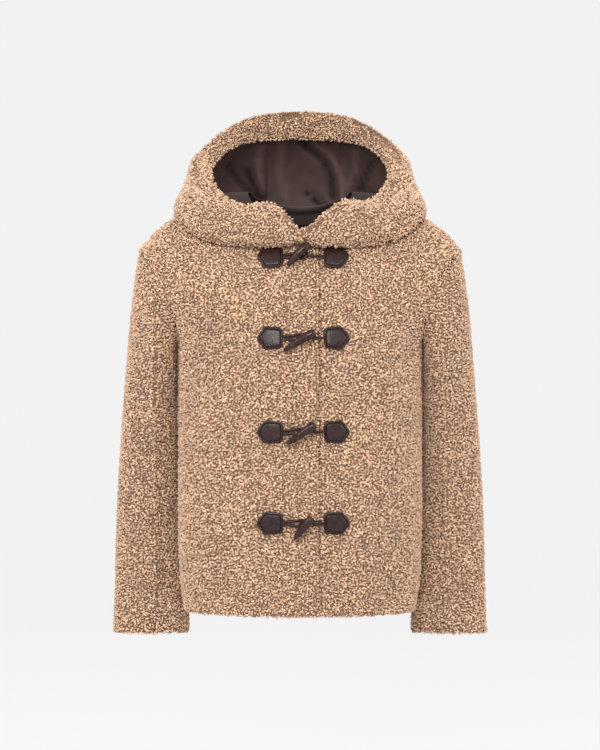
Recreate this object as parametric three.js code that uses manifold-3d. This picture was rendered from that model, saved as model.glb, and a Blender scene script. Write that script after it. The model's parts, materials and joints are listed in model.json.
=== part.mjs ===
// Short hooded duffle coat in curly pile cloth, filled out as when it is worn, with no wearer.
// Millimetres, +Z up, the front faces -Y and +X is the wearer's left. The origin is the centre of the
// neck opening, level with the points where the shoulder seams meet the neck.
// Azimuths are degrees about the neck: 0 is the centre front, 90 the wearer's left, 180 the centre back.

import * as THREE from 'three';
import { mergeVertices } from 'three/addons/utils/BufferGeometryUtils.js';
import Module from 'manifold-3d';

const wasm = await Module();
wasm.setup();

// Driving sizes
const PILE_WALL = 5;             // pile cloth, ground cloth and curls together
const FACING_WALL = 4.6;         // the same cloth, pressed flatter where it is turned in
const LINING_WALL = 1.2;
const LINING_CLEAR = 2.6;        // between the lining and the pile cloth below it
const BAND_WALL = 1.5;
const SEAM_GAP = 0.3;
const SECTION_POWER = 2.3;       // body sections are superellipses of this power
const SLEEVE_POWER = 2.2;
const NECK_POWER = 1.3;          // how the neckline dips from the side to the front and back
const FRONT_NECK_Z = -68;
const BACK_NECK_Z = -18;
const OVERLAP_REACH = 25;        // how far each front passes the centre line
const RECESS = { start: 33, end: 27, depth: PILE_WALL + 1.2 };

// Body sections: half width, and depth to the front and to the back of the neck's axis
const BODY = [
  { z: -612, half: 172, front: 128, back: 112 },
  { z: -560, half: 181, front: 129, back: 113 },
  { z: -450, half: 182, front: 130, back: 114 },
  { z: -300, half: 182, front: 128, back: 116 },
  { z: -250, half: 182.5, front: 126, back: 117 },
  { z: -216, half: 183, front: 122, back: 114 },
  { z: -195, half: 194, front: 119, back: 113 },
  { z: -171, half: 211, front: 114.5, back: 111 },
  { z: -146, half: 231, front: 109, back: 108.5 },
  { z: -121, half: 243, front: 101.5, back: 104 },
  { z: -100, half: 248, front: 95, back: 99 },
  { z: -84, half: 245, front: 87, back: 94 },
  { z: -76, half: 241, front: 82.5, back: 90.5 },
  { z: -60, half: 231, front: 71.5, back: 83.5 },
  { z: -45, half: 216, front: 57, back: 77 },
  { z: -30, half: 197, front: 42, back: 69.5 },
  { z: -17, half: 160, front: 28, back: 61 },
  { z: -8, half: 121, front: 18, back: 44 },
  { z: -4, half: 98, front: 13, back: 31 },
  { z: 0, half: 76, front: 8, back: 10 },
];

// The armhole is an upright ring that leans with the shoulder
const ARMHOLE = {
  midZ: -146, halfHeight: 70, frontDepth: 66, backDepth: 70, lean: 58 / 140, sideways: 0.65, sway: 0.25,
};
const ARMHOLE_STEPS = 9;

// Level rows of the body, from the hem to the underarm
const BODY_LEVELS = [-612, -585, -520, -450, -380, -310, -260, -216];

// Sleeve rings, from the cuff to the armhole: where the outer and inner edges lie, and the ring's
// middle and half depth from front to back
const SLEEVE = [
  { outerX: 285, outerZ: -652, innerX: 169, innerZ: -652, midY: 60, depth: 38 },
  { outerX: 284.5, outerZ: -622, innerX: 167, innerZ: -622, midY: 59, depth: 40 },
  { outerX: 282, outerZ: -570, innerX: 171, innerZ: -570, midY: 57, depth: 43 },
  { outerX: 281, outerZ: -515, innerX: 177, innerZ: -515, midY: 53, depth: 45 },
  { outerX: 278.5, outerZ: -455, innerX: 180.5, innerZ: -458, midY: 48, depth: 48 },
  { outerX: 275, outerZ: -400, innerX: 182, innerZ: -408, midY: 41, depth: 52 },
  { outerX: 270, outerZ: -342, innerX: 183.2, innerZ: -362, midY: 34, depth: 57 },
  { outerX: 265.5, outerZ: -288, innerX: 184, innerZ: -320, midY: 27, depth: 61 },
  { outerX: 261, outerZ: -238, innerX: 184.4, innerZ: -287, midY: 20, depth: 64.5 },
  { outerX: 257, outerZ: -192, innerX: 184.6, innerZ: -262, midY: 14, depth: 67 },
  { outerX: 252.5, outerZ: -152, innerX: 184.8, innerZ: -244, midY: 9, depth: 68.5 },
  { outerX: 248, outerZ: -119, innerX: 185, innerZ: -231, midY: 5, depth: 69 },
  { outerX: 244, outerZ: -93, innerX: 185, innerZ: -221.5, midY: 3, depth: 68.5 },
];

// The sleeve's two seams, as steps round its rings from the side that lies along the body
const SLEEVE_SEAMS = { front: 4, back: 14 };

// Hood sections by azimuth: the fold where it lies on the shoulders, its lowest roll, its middle and
// its upper side
const HOOD = [
  { az: 0, creaseZ: -72, rollR: 103, rollZ: -65, midR: 104, midZ: -57, upR: 100, upZ: -52 },
  { az: 14, creaseZ: -78, rollR: 111, rollZ: -66, midR: 112, midZ: -50, upR: 107, upZ: -38 },
  { az: 30, creaseZ: -80, rollR: 126, rollZ: -62, midR: 124, midZ: -34, upR: 114, upZ: -14 },
  { az: 60, creaseZ: -73, rollR: 165, rollZ: -50, midR: 160, midZ: -20, upR: 140, upZ: -6 },
  { az: 80, creaseZ: -40, rollR: 188, rollZ: -24, midR: 182, midZ: 0, upR: 160, upZ: 14 },
  { az: 88, creaseZ: -26, rollR: 189, rollZ: -13, midR: 181, midZ: 8, upR: 163, upZ: 22 },
  { az: 95, creaseZ: -25, rollR: 190, rollZ: -11, midR: 181, midZ: 14, upR: 168, upZ: 34 },
  { az: 115, creaseZ: -40, rollR: 186, rollZ: -26, midR: 192, midZ: 20, upR: 184, upZ: 58 },
  { az: 135, creaseZ: -66, rollR: 190, rollZ: -50, midR: 212, midZ: 20, upR: 192, upZ: 82 },
  { az: 155, creaseZ: -84, rollR: 205, rollZ: -62, midR: 232, midZ: 22, upR: 210, upZ: 92 },
  { az: 180, creaseZ: -92, rollR: 212, rollZ: -66, midR: 240, midZ: 24, upR: 218, upZ: 96 },
];

// The hood's rim, which isn't quite the same on both sides
const RIM = {
  right: [
    { az: 0, r: 93, z: -53 }, { az: 8, r: 92, z: -34 }, { az: 16, r: 93.5, z: -20 },
    { az: 29, r: 98.5, z: -8 }, { az: 42, r: 101, z: -10 }, { az: 58, r: 110, z: -16 },
    { az: 70, r: 119, z: -5.5 }, { az: 82, r: 133, z: 18 }, { az: 96, r: 154, z: 50 },
    { az: 115, r: 166, z: 84 }, { az: 135, r: 152, z: 122 }, { az: 155, r: 150, z: 143 },
    { az: 180, r: 150, z: 150 },
  ],
  left: [
    { az: 0, r: 93, z: -53 }, { az: 12, r: 93, z: -42 }, { az: 17, r: 93, z: -32 },
    { az: 25, r: 95, z: -19 }, { az: 33, r: 100.5, z: -9 }, { az: 43, r: 108, z: -2 },
    { az: 55, r: 112, z: -6 }, { az: 66, r: 120.5, z: -8 }, { az: 76, r: 128, z: 4 },
    { az: 86, r: 136, z: 22 }, { az: 96, r: 154, z: 50 }, { az: 115, r: 166, z: 84 },
    { az: 135, r: 152, z: 122 }, { az: 155, r: 150, z: 143 }, { az: 180, r: 150, z: 150 },
  ],
};

// The seam between the hood's facing and its lining
const LIP = [
  { az: 0, r: 86, z: -60 }, { az: 14, r: 84, z: -46 }, { az: 30, r: 86, z: -28 },
  { az: 46, r: 90, z: -16 }, { az: 60, r: 96, z: -11 }, { az: 70, r: 105, z: -4 }, { az: 82, r: 118, z: 8 },
  { az: 96, r: 133, z: 36 }, { az: 115, r: 144, z: 60 }, { az: 135, r: 152, z: 88 },
  { az: 155, r: 160, z: 103 }, { az: 180, r: 162, z: 108 },
];

const HOOD_AZIMUTHS = [0.4, 5, 10, 15, 20, 26, 32, 39, 46, 54, 62, 70, 77, 84, 90, 96, 104, 113, 123, 134,
  146, 157, 168, 180];
// How far the hood's underside lies off the body, and the azimuths over which that turns from the front's
// to the back's
const HOOD_LIFT = { atNeck: 2, front: 5.6, back: 4.2, turnFrom: 40, turnOver: 15 };
const BROW = { out: 12, down: 7 };
const FACING_START = 3;          // azimuth where the turned-in pile edge starts
const FACING_BULGE = 2;          // how far the facing bellies towards the head
const LINING_START = 14;         // azimuth where the lining starts
// The lining starts just above the neck seam, lies over the hood's underside, hangs inside its roll, its
// middle and its upper side, and ends tucked behind the facing. It fills out from the sides to the back.
const LINING = {
  startOut: 0.5, startUp: 10, nearNeck: 6.5, nearCrease: 10, tuck: 1.6, fillFrom: 55, fillOver: 50,
  roll: { in: 13, up: 5 }, mid: { in: 13, up: -4 }, up: { in: 12, up: -14 },
};
const CENTRE_PANEL = { xMin: -52, xMax: 62, yMin: 40 };   // the hood's middle piece, between its two seams
const BAND = { from: 108, to: 252, top: 2, height: 15, inset: 1.2, steps: 16 };

// Closures from the top: height, where each horn's tip and head lie from the row's middle, the cord's
// half width, and how far the row lies off the front
const CLOSURES = [
  { z: -90, tipX: -18, tipZ: -15, headX: 12, headZ: 9, cordWidth: 2, off: 1.3 },
  { z: -209, tipX: -23, tipZ: -19, headX: 21, headZ: 6, cordWidth: 2, off: 0.7 },
  { z: -345, tipX: -18, tipZ: -17, headX: 21, headZ: 11, cordWidth: 2, off: 0.7 },
  { z: -477, tipX: -8, tipZ: -22, headX: 17, headZ: 9, cordWidth: 3.4, off: 0.7 },
];
const LOOP_PATCH_X = -43.4;
const TOGGLE_PATCH_X = 53.2;
// Each patch points away from the middle, and its cord leaves the blunt end
const PATCH_OUTLINE = [
  { out: 20, up: 0 }, { out: 8, up: 17 }, { out: -15, up: 15.5 }, { out: -19, up: 11.5 },
  { out: -19, up: -11.5 }, { out: -15, up: -15.5 }, { out: 8, up: -17 },
];
const PATCH = { thickness: 2.4, bevel: 0.8, cornerRadius: 3, end: 19, centre: 9 };
const CORD_RADIUS = 2;
const CORD_OFF = 2.2;
const LOOP_RISE = 7.1;
const HORN = [
  { t: 0, radius: 2.2, off: 6 }, { t: 0.06, radius: 3.4, off: 7.2 }, { t: 0.25, radius: 4.9, off: 11.2 },
  { t: 0.5, radius: 6, off: 16 }, { t: 0.62, radius: 6, off: 17 }, { t: 0.8, radius: 6.8, off: 17.8 },
  { t: 0.93, radius: 6.9, off: 17.8 }, { t: 1, radius: 5.2, off: 17.6 },
];

const MATERIALS = {
  pile: new THREE.MeshStandardMaterial({ color: 0xc9a586, roughness: 0.95, metalness: 0 }),
  lining: new THREE.MeshStandardMaterial({ color: 0x3b2d2c, roughness: 0.55, metalness: 0 }),
  leather: new THREE.MeshStandardMaterial({ color: 0x2e2020, roughness: 0.45, metalness: 0 }),
  horn: new THREE.MeshStandardMaterial({ color: 0x2a1a17, roughness: 0.35, metalness: 0 }),
};

const group = new THREE.Group();

function add(name, geometry, material) {
  const mesh = new THREE.Mesh(geometry, material);
  mesh.name = name;
  group.add(mesh);
}

// Small helpers

const radians = (degrees) => (degrees * Math.PI) / 180;
const mix = (a, b, t) => a + (b - a) * t;
const clamp01 = (t) => Math.min(1, Math.max(0, t));
const smoothstep = (t) => clamp01(t) ** 2 * (3 - 2 * clamp01(t));

// A smooth curve through one column of a table, with no overshoot between its rows
function track(table, key) {
  const keys = table.map((row) => row[key]);
  const last = keys.length - 1;
  return (column, at) => {
    const values = table.map((row) => row[column]);
    const x = Math.min(keys[last], Math.max(keys[0], at));
    let i = 0;
    while (i < last - 1 && x > keys[i + 1]) i += 1;
    const step = (k) => keys[k + 1] - keys[k];
    const slope = (k) => (values[k + 1] - values[k]) / step(k);
    const tangent = (k) => {
      if (k === 0) return slope(0);
      if (k === last) return slope(last - 1);
      if (slope(k - 1) * slope(k) <= 0) return 0;
      return (2 * slope(k - 1) * slope(k)) / (slope(k - 1) + slope(k));
    };
    const h = step(i);
    const t = (x - keys[i]) / h;
    const t2 = t * t;
    const t3 = t2 * t;
    return (2 * t3 - 3 * t2 + 1) * values[i] + (t3 - 2 * t2 + t) * h * tangent(i)
      + (3 * t2 - 2 * t3) * values[i + 1] + (t3 - t2) * h * tangent(i + 1);
  };
}

const body = track(BODY, 'z');
const hood = track(HOOD, 'az');
const lip = track(LIP, 'az');
const rims = { right: track(RIM.right, 'az'), left: track(RIM.left, 'az') };
const horn = track(HORN, 't');

// The body's surface

const depthColumn = (az) => (Math.cos(radians(az)) > 0 ? 'front' : 'back');

function bodyRadius(az, z) {
  const across = Math.abs(Math.sin(radians(az))) / body('half', z);
  const along = Math.abs(Math.cos(radians(az))) / body(depthColumn(az), z);
  return (across ** SECTION_POWER + along ** SECTION_POWER) ** (-1 / SECTION_POWER);
}

function polar(r, az, z) {
  return new THREE.Vector3(r * Math.sin(radians(az)), -r * Math.cos(radians(az)), z);
}

function neckZ(az) {
  const dip = Math.cos(radians(az)) > 0 ? FRONT_NECK_Z : BACK_NECK_Z;
  return dip * Math.abs(Math.cos(radians(az))) ** NECK_POWER;
}

// A point of one body section: turn runs from 0 at the centre line to 90 at the side
function sectionPoint(face, turn, z) {
  const power = 2 / SECTION_POWER;
  const x = body('half', z) * Math.sign(turn) * Math.abs(Math.sin(radians(turn))) ** power;
  const y = body(face, z) * Math.abs(Math.cos(radians(turn))) ** power;
  return new THREE.Vector3(x, face === 'front' ? -y : y, z);
}

function turnAtX(x, z) {
  const share = Math.min(1, Math.abs(x) / body('half', z));
  return (Math.sign(x) * Math.asin(share ** (SECTION_POWER / 2)) * 180) / Math.PI;
}

function turnAtY(face, y, z) {
  const share = Math.min(1, Math.abs(y) / body(face, z));
  return (Math.acos(share ** (SECTION_POWER / 2)) * 180) / Math.PI;
}

// A point off the front's surface, found from where it is seen from the front
function onFront(x, z, off) {
  const at = (px, pz) => sectionPoint('front', turnAtX(px, pz), pz);
  const here = at(x, z);
  const across = at(x + 1, z).sub(at(x - 1, z));
  const up = at(x, z + 1).sub(at(x, z - 1));
  return here.add(across.cross(up).normalize().multiplyScalar(off));
}

// Closed walls from a grid of points. Rows run up and columns run with the azimuth, so that their
// cross product points out of the cloth.
function wall(rows, thickness, { wrap = false, inward = () => null } = {}) {
  const height = rows.length;
  const width = rows[0].length;
  const column = (j) => (wrap ? (j + width) % width : Math.min(width - 1, Math.max(0, j)));
  const level = (i) => Math.min(height - 1, Math.max(0, i));
  const inner = rows.map((row, i) => row.map((point, j) => {
    const across = row[column(j + 1)].clone().sub(row[column(j - 1)]);
    const up = rows[level(i + 1)][j].clone().sub(rows[level(i - 1)][j]);
    const normal = across.cross(up).normalize();
    const direction = inward(i, j, normal) ?? normal.clone().negate();
    return point.clone().addScaledVector(direction, thickness);
  }));
  const points = [...rows.flat(), ...inner.flat()];
  const out = (i, j) => i * width + column(j);
  const under = (i, j) => height * width + out(i, j);
  const faces = [];
  const quad = (a, b, c, d) => faces.push(a, b, c, a, c, d);
  const spans = wrap ? width : width - 1;
  for (let i = 0; i < height - 1; i += 1) {
    for (let j = 0; j < spans; j += 1) {
      quad(out(i, j), out(i, j + 1), out(i + 1, j + 1), out(i + 1, j));
      quad(under(i, j), under(i + 1, j), under(i + 1, j + 1), under(i, j + 1));
    }
    if (!wrap) {
      quad(out(i, 0), out(i + 1, 0), under(i + 1, 0), under(i, 0));
      quad(out(i, width - 1), under(i, width - 1), under(i + 1, width - 1), out(i + 1, width - 1));
    }
  }
  for (let j = 0; j < spans; j += 1) {
    quad(out(0, j + 1), out(0, j), under(0, j), under(0, j + 1));
    quad(out(height - 1, j), out(height - 1, j + 1), under(height - 1, j + 1), under(height - 1, j));
  }
  return solid(points, faces);
}

function solid(points, faces) {
  const geometry = new THREE.BufferGeometry();
  geometry.setAttribute('position', new THREE.Float32BufferAttribute(points.flatMap((p) => p.toArray()), 3));
  geometry.setIndex(faces);
  return geometry;
}

// A closed skin over rings of equal count, with a point in the middle of each end. The rings turn
// anticlockwise when seen from the last one.
function loft(rings) {
  const count = rings[0].length;
  const middle = (ring) => ring.reduce((sum, p) => sum.add(p), new THREE.Vector3()).divideScalar(count);
  const points = [...rings.flat(), middle(rings[0]), middle(rings[rings.length - 1])];
  const start = points.length - 2;
  const end = points.length - 1;
  const faces = [];
  for (let j = 0; j < count; j += 1) {
    const next = (j + 1) % count;
    for (let i = 0; i < rings.length - 1; i += 1) {
      const low = i * count;
      const high = low + count;
      faces.push(low + j, low + next, high + next, low + j, high + next, high + j);
    }
    const top = (rings.length - 1) * count;
    faces.push(start, next, j, end, top + j, top + next);
  }
  return solid(points, faces);
}

// A round rod along a path, with its own half widths across and off the cloth at each point
function rod(path, across, off, sides) {
  const outward = new THREE.Vector3(0, -1, 0);
  const rings = path.map((point, i) => {
    const before = path[Math.max(0, i - 1)];
    const after = path[Math.min(path.length - 1, i + 1)];
    const along = after.clone().sub(before).normalize();
    const side = along.clone().cross(outward).normalize();
    const lift = side.clone().cross(along).normalize();
    return Array.from({ length: sides }, (_, k) => {
      const angle = (2 * Math.PI * k) / sides;
      return point.clone()
        .addScaledVector(side, across(i) * Math.cos(angle))
        .addScaledVector(lift, -off(i) * Math.sin(angle));
    });
  });
  return loft(rings);
}

// The armhole

function armholePoint(angle) {
  const z = ARMHOLE.midZ + ARMHOLE.halfHeight * Math.sin(radians(angle));
  const ahead = Math.cos(radians(angle));
  const face = ahead > 0 ? 'front' : 'back';
  const y = ahead * (ahead > 0 ? -ARMHOLE.frontDepth : -ARMHOLE.backDepth);
  return sectionPoint(face, turnAtY(face, y, z), z);
}

// Both sides of the armhole seam thicken along this direction, so that their edges stay parallel
function armholeInward(angle) {
  const sine = Math.sin(radians(angle));
  const radial = new THREE.Vector3(ARMHOLE.lean * sine, -Math.cos(radians(angle)), sine);
  const sideways = new THREE.Vector3(ARMHOLE.sideways - ARMHOLE.sway * sine, 0, 0);
  return radial.add(sideways).normalize().negate();
}

// Fronts and back. Their top edge is the neckline and then the shoulder seam.

const NECK_COLUMNS = 5;
const SHOULDER_COLUMNS = 6;

function topTurn(point) {
  return turnAtX(point.x, point.z);
}

function topEdge(face, centreXs) {
  const azimuthAtX = (x) => (Math.asin(x / bodyRadius(0, neckZ(0))) * 180) / Math.PI;
  const flip = (az) => (face === 'front' ? az : 180 - az);
  const fromAzimuth = (az) => {
    const z = neckZ(flip(az));
    const p = polar(bodyRadius(flip(az), z), flip(az), z);
    return { turn: topTurn(p), z };
  };
  const centre = centreXs.map((x) => fromAzimuth(azimuthAtX(x)));
  const first = azimuthAtX(centreXs[centreXs.length - 1]);
  const neck = Array.from({ length: NECK_COLUMNS }, (_, k) => (
    fromAzimuth(mix(first, 90, (k + 1) / NECK_COLUMNS))));
  const tipX = body('half', ARMHOLE.midZ + ARMHOLE.halfHeight);
  const neckX = body('half', 0);
  const shoulder = Array.from({ length: SHOULDER_COLUMNS }, (_, k) => (
    { turn: 90, z: shoulderZ(mix(neckX, tipX, (k + 1) / SHOULDER_COLUMNS)) }));
  return [...centre, ...neck, ...shoulder];
}

// The height above which a size that shrinks towards the neck is smaller than the one given
function heightAt(size, target) {
  let low = -100;
  let high = 0;
  for (let k = 0; k < 30; k += 1) {
    const middle = (low + high) / 2;
    if (size(middle) > target) low = middle;
    else high = middle;
  }
  return low;
}

const shoulderZ = (x) => heightAt((z) => body('half', z), x);

// Rows of the wearer's left half of a panel, from the hem to the top edge
function panelRows(face, centreXs) {
  const top = topEdge(face, centreXs);
  const free = top.length - centreXs.length;
  const levels = BODY_LEVELS.map((z) => ({ z, endTurn: 90, rise: 0, spread: 0 }));
  const underarm = BODY_LEVELS[BODY_LEVELS.length - 1];
  const tip = ARMHOLE.midZ + ARMHOLE.halfHeight;
  for (let k = 1; k <= ARMHOLE_STEPS; k += 1) {
    const angle = -90 + (180 * k) / ARMHOLE_STEPS;
    const edge = armholePoint(face === 'front' ? angle : 180 - angle);
    const share = (edge.z - underarm) / (tip - underarm);
    levels.push({
      z: edge.z, endTurn: turnAtY(face, edge.y, edge.z), rise: share ** 1.5, spread: share ** 2,
    });
  }
  return levels.map(({ z, endTurn, rise, spread }, i) => top.map((edge, j) => {
    const lifted = z + (edge.z - tip) * rise;
    const startTurn = (at) => turnAtX(centreXs[Math.min(j, centreXs.length - 1)], at);
    const share = Math.max(0, j - centreXs.length + 1) / free;
    const turn = mix(startTurn(lifted), endTurn, share);
    const flatTurn = mix(startTurn(edge.z), 90, share);
    const spreadTurn = turn + spread * (edge.turn - flatTurn);
    const isTop = i === levels.length - 1;
    return sectionPoint(face, isTop ? edge.turn : spreadTurn, isTop ? edge.z : lifted);
  }));
}

// Seams at the side and shoulder lie in one plane, and those at the armhole share its direction
function panelInward(face, columns, rowCount, mirrored) {
  const side = mirrored ? -1 : 1;
  return (i, j, normal) => {
    const column = mirrored ? columns - 1 - j : j;
    const armRow = i - (BODY_LEVELS.length - 1);
    if (column === columns - 1 && armRow >= 0) {
      const angle = -90 + (180 * armRow) / ARMHOLE_STEPS;
      const direction = armholeInward(face === 'front' ? angle : 180 - angle);
      return direction.setX(direction.x * side);
    }
    const onSide = column === columns - 1;
    const onShoulder = i === rowCount - 1 && column >= columns - 1 - SHOULDER_COLUMNS;
    if (onSide || onShoulder) return normal.clone().setY(0).normalize().negate();
    return null;
  };
}

function shiftSeams(rows, face) {
  const shift = face === 'front' ? -SEAM_GAP / 2 : SEAM_GAP / 2;
  return rows.map((row) => row.map((p) => p.clone().add(new THREE.Vector3(0, shift, 0))));
}

const mirror = (rows) => rows.map((row) => row.map((p) => new THREE.Vector3(-p.x, p.y, p.z)).reverse());

// The under front steps back below the over front
function recessed(rows) {
  return rows.map((row) => row.map((point) => {
    const share = smoothstep((RECESS.start - point.x) / (RECESS.start - RECESS.end));
    if (share === 0) return point;
    const outward = onFront(point.x, point.z, 1).sub(onFront(point.x, point.z, 0));
    return point.clone().addScaledVector(outward, -RECESS.depth * share);
  }));
}

function makeFronts() {
  const overXs = [-OVERLAP_REACH, -8, 9, 26, 42];
  const underXs = [1 - OVERLAP_REACH, 0, 14, 27, 30, 33, 46];
  const overRows = mirror(shiftSeams(panelRows('front', overXs), 'front'));
  const underRows = shiftSeams(recessed(panelRows('front', underXs)), 'front');
  add('front_over', wall(overRows, PILE_WALL, {
    inward: panelInward('front', overRows[0].length, overRows.length, true),
  }), MATERIALS.pile);
  add('front_under', wall(underRows, PILE_WALL, {
    inward: panelInward('front', underRows[0].length, underRows.length, false),
  }), MATERIALS.pile);
}

function makeBack() {
  const left = shiftSeams(panelRows('back', [0]), 'back');
  const columns = left[0].length;
  const right = mirror(left);
  const rows = left.map((row, i) => [...row.slice().reverse(), ...right[i].slice().reverse().slice(1)]);
  const leftInward = panelInward('back', columns, rows.length, false);
  add('back', wall(rows, PILE_WALL, {
    inward: (i, j, normal) => {
      const onLeft = j < columns;
      const direction = leftInward(i, onLeft ? columns - 1 - j : j - columns + 1, normal);
      if (direction && !onLeft && direction.x * normal.x > 0) direction.setX(-direction.x);
      return direction;
    },
  }), MATERIALS.pile);
}

// Sleeves: rings from the cuff to the armhole, with their points on the armhole's own

function sleeveRows() {
  const count = ARMHOLE_STEPS * 2;
  const angles = Array.from({ length: count }, (_, k) => -90 + (360 * k) / count);
  const rows = SLEEVE.map((ring) => angles.map((angle) => {
    const power = 2 / SLEEVE_POWER;
    const sine = Math.sin(radians(angle));
    const cosine = Math.cos(radians(angle));
    const outer = Math.sign(sine) * Math.abs(sine) ** power;
    const ahead = Math.sign(cosine) * Math.abs(cosine) ** power;
    return new THREE.Vector3(
      mix(ring.innerX, ring.outerX, (1 + outer) / 2),
      ring.midY - ring.depth * ahead,
      mix(ring.innerZ, ring.outerZ, (1 + outer) / 2),
    );
  }));
  const top = angles.map((angle) => armholePoint(angle).add(new THREE.Vector3(SEAM_GAP * 1.5, 0, 0)));
  return { angles, rows: [...rows, top] };
}

// One piece of a sleeve: its rows between two seams, and the direction in which it thickens there
function sleevePiece({ angles, rows }, from, to) {
  const count = angles.length;
  const last = rows.length - 1;
  const at = (i, j) => rows[Math.min(last, Math.max(0, i))][(j + count) % count];
  const columns = Array.from({ length: to - from + 1 }, (_, k) => from + k);
  const piece = rows.map((_, i) => columns.map((j) => {
    const point = at(i, j).clone();
    if (j !== from && j !== to) return point;
    const next = at(i, j === from ? j + 1 : j - 1);
    return point.add(next.clone().sub(point).setLength(SEAM_GAP / 2));
  }));
  const inward = (i, k) => {
    const j = columns[k];
    if (i === last) return armholeInward(angles[j % count]);
    if (j !== from && j !== to) return null;
    const across = at(i, j + 1).clone().sub(at(i, j - 1));
    const up = at(i + 1, j).clone().sub(at(i - 1, j));
    return across.cross(up).normalize().negate();
  };
  return { piece, inward };
}

// Two-piece sleeves: the top sleeve goes round the outside and the under sleeve lies along the body
function makeSleeves() {
  const sleeve = sleeveRows();
  const { front, back } = SLEEVE_SEAMS;
  const pieces = [
    { name: 'top', ...sleevePiece(sleeve, front, back) },
    { name: 'under', ...sleevePiece(sleeve, back, front + sleeve.angles.length) },
  ];
  for (const { name, piece, inward } of pieces) {
    add(`sleeve_left_${name}`, wall(piece, PILE_WALL, { inward }), MATERIALS.pile);
    const mirrored = (i, k) => {
      const direction = inward(i, piece[0].length - 1 - k);
      return direction && direction.setX(-direction.x);
    };
    add(`sleeve_right_${name}`, wall(mirror(piece), PILE_WALL, { inward: mirrored }), MATERIALS.pile);
  }
}

// The hood. Every section is a curve in the upright plane through the neck's axis.

const sideOf = (az) => (az > 180 ? { angle: 360 - az, rim: rims.right } : { angle: az, rim: rims.left });
const flat = (r, z) => new THREE.Vector3(r, 0, z);

// A point of the hood's underside, where share runs from the neck seam to the crease
function underside(az, share) {
  const { angle } = sideOf(az);
  const neck = bodyRadius(angle, neckZ(angle));
  const crease = bodyRadius(angle, hood('creaseZ', angle));
  const r = mix(neck, crease, share);
  const z = heightAt((height) => bodyRadius(angle, height), r);
  const fall = z - heightAt((height) => bodyRadius(angle, height), r + 1);
  const full = mix(HOOD_LIFT.front, HOOD_LIFT.back, smoothstep((angle - HOOD_LIFT.turnFrom) / HOOD_LIFT.turnOver));
  const lift = mix(HOOD_LIFT.atNeck, full, clamp01(share / 0.3));
  return flat(r, z).addScaledVector(flat(fall, 1).normalize(), lift);
}

function rimPoint(az) {
  const { angle, rim } = sideOf(az);
  return flat(rim('r', angle), rim('z', angle));
}

function lipPoint(az) {
  const { angle } = sideOf(az);
  return flat(lip('r', angle), lip('z', angle));
}

const hoodPoint = (az, name) => flat(hood(`${name}R`, sideOf(az).angle), hood(`${name}Z`, sideOf(az).angle));

function section(points, stations) {
  const curve = new THREE.CatmullRomCurve3(points, false, 'centripetal');
  return stations.map((station) => curve.getPoint(station / (points.length - 1)));
}

// The hood's underside faces down, so its wall thickens upwards from the body
const upwards = (from, to) => flat(from.z - to.z, to.x - from.x).normalize();

function shellSection(az) {
  const rim = rimPoint(az);
  const brow = rim.clone().add(flat(BROW.out, -BROW.down));
  const leg = [0, 0.25, 0.5, 0.75, 1].map((share) => underside(az, share));
  const points = [...leg, hoodPoint(az, 'roll'), hoodPoint(az, 'mid'), hoodPoint(az, 'up'), brow, rim];
  return section(points, [0, 1, 2, 3, 4, 4.5, 5, 5.5, 6, 6.5, 7, 7.5, 8, 9]);
}

function rimInward(az) {
  const rim = rimPoint(az);
  const facing = lipPoint(az).sub(rim).normalize();
  const shell = flat(BROW.out, -BROW.down).normalize();
  return facing.add(shell).normalize();
}

const lipInward = (az) => {
  const along = lipPoint(az).sub(rimPoint(az)).normalize();
  return flat(-along.z, along.x);
};

function facingSection(az) {
  const rim = rimPoint(az);
  const edge = lipPoint(az);
  const bulge = lipInward(az).multiplyScalar(-FACING_BULGE);
  const start = rim.clone().addScaledVector(flat(-1, 0), 2 * SEAM_GAP);
  const third = (share) => rim.clone().lerp(edge, share).add(bulge);
  return section([start, third(0.35), third(0.7), edge], [0, 1, 2, 3]);
}

function liningSection(az) {
  const { angle } = sideOf(az);
  const fill = smoothstep((angle - LINING.fillFrom) / LINING.fillOver);
  const overLeg = (share, clear) => {
    const from = underside(az, Math.max(0, share - 0.1));
    const to = underside(az, Math.min(1, share + 0.1));
    return underside(az, share).addScaledVector(upwards(from, to), clear);
  };
  const start = underside(az, 0).add(flat(LINING.startOut, LINING.startUp));
  const end = lipPoint(az).addScaledVector(lipInward(az), PILE_WALL + LINING_WALL + LINING.tuck);
  const inside = (name) => hoodPoint(az, name).add(flat(-LINING[name].in, LINING[name].up));
  const full = [start, overLeg(0.3, PILE_WALL + LINING.nearNeck), overLeg(0.85, PILE_WALL + LINING.nearCrease),
    inside('roll'), inside('mid'), inside('up'), end];
  const neck = bodyRadius(angle, neckZ(angle));
  const crease = bodyRadius(angle, hood('creaseZ', angle));
  const points = full.map((point, k) => {
    const blended = start.clone().lerp(end, k / (full.length - 1)).lerp(point, fill);
    const onLeg = overLeg(clamp01((blended.x - neck) / (crease - neck)), PILE_WALL + LINING_CLEAR);
    return blended.setZ(Math.max(blended.z, onLeg.z));
  });
  return section(points, [0, 1, 1.5, 2, 2.5, 3, 3.5, 4, 4.5, 5, 5.5, 6]);
}

function hoodAzimuths(start) {
  const half = [start, ...HOOD_AZIMUTHS.filter((az) => az > start + 1)];
  return [...half, ...half.slice(0, -1).reverse().map((az) => 360 - az)];
}

// Turns sections, one for each azimuth, into rows
function rowsFrom(azimuths, sectionAt) {
  const sections = azimuths.map((az) => sectionAt(az).map((p) => polar(p.x, az, p.z)));
  return sections[0].map((_, i) => sections.map((points) => points[i]));
}

const turned = (direction, az) => polar(direction.x, az, direction.z);

// A direction with its share across the section taken out
function inSection(direction, az) {
  const across = new THREE.Vector3(Math.cos(radians(az)), Math.sin(radians(az)), 0);
  return direction.clone().addScaledVector(across, -direction.dot(across)).normalize();
}

// Booleans

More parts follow.
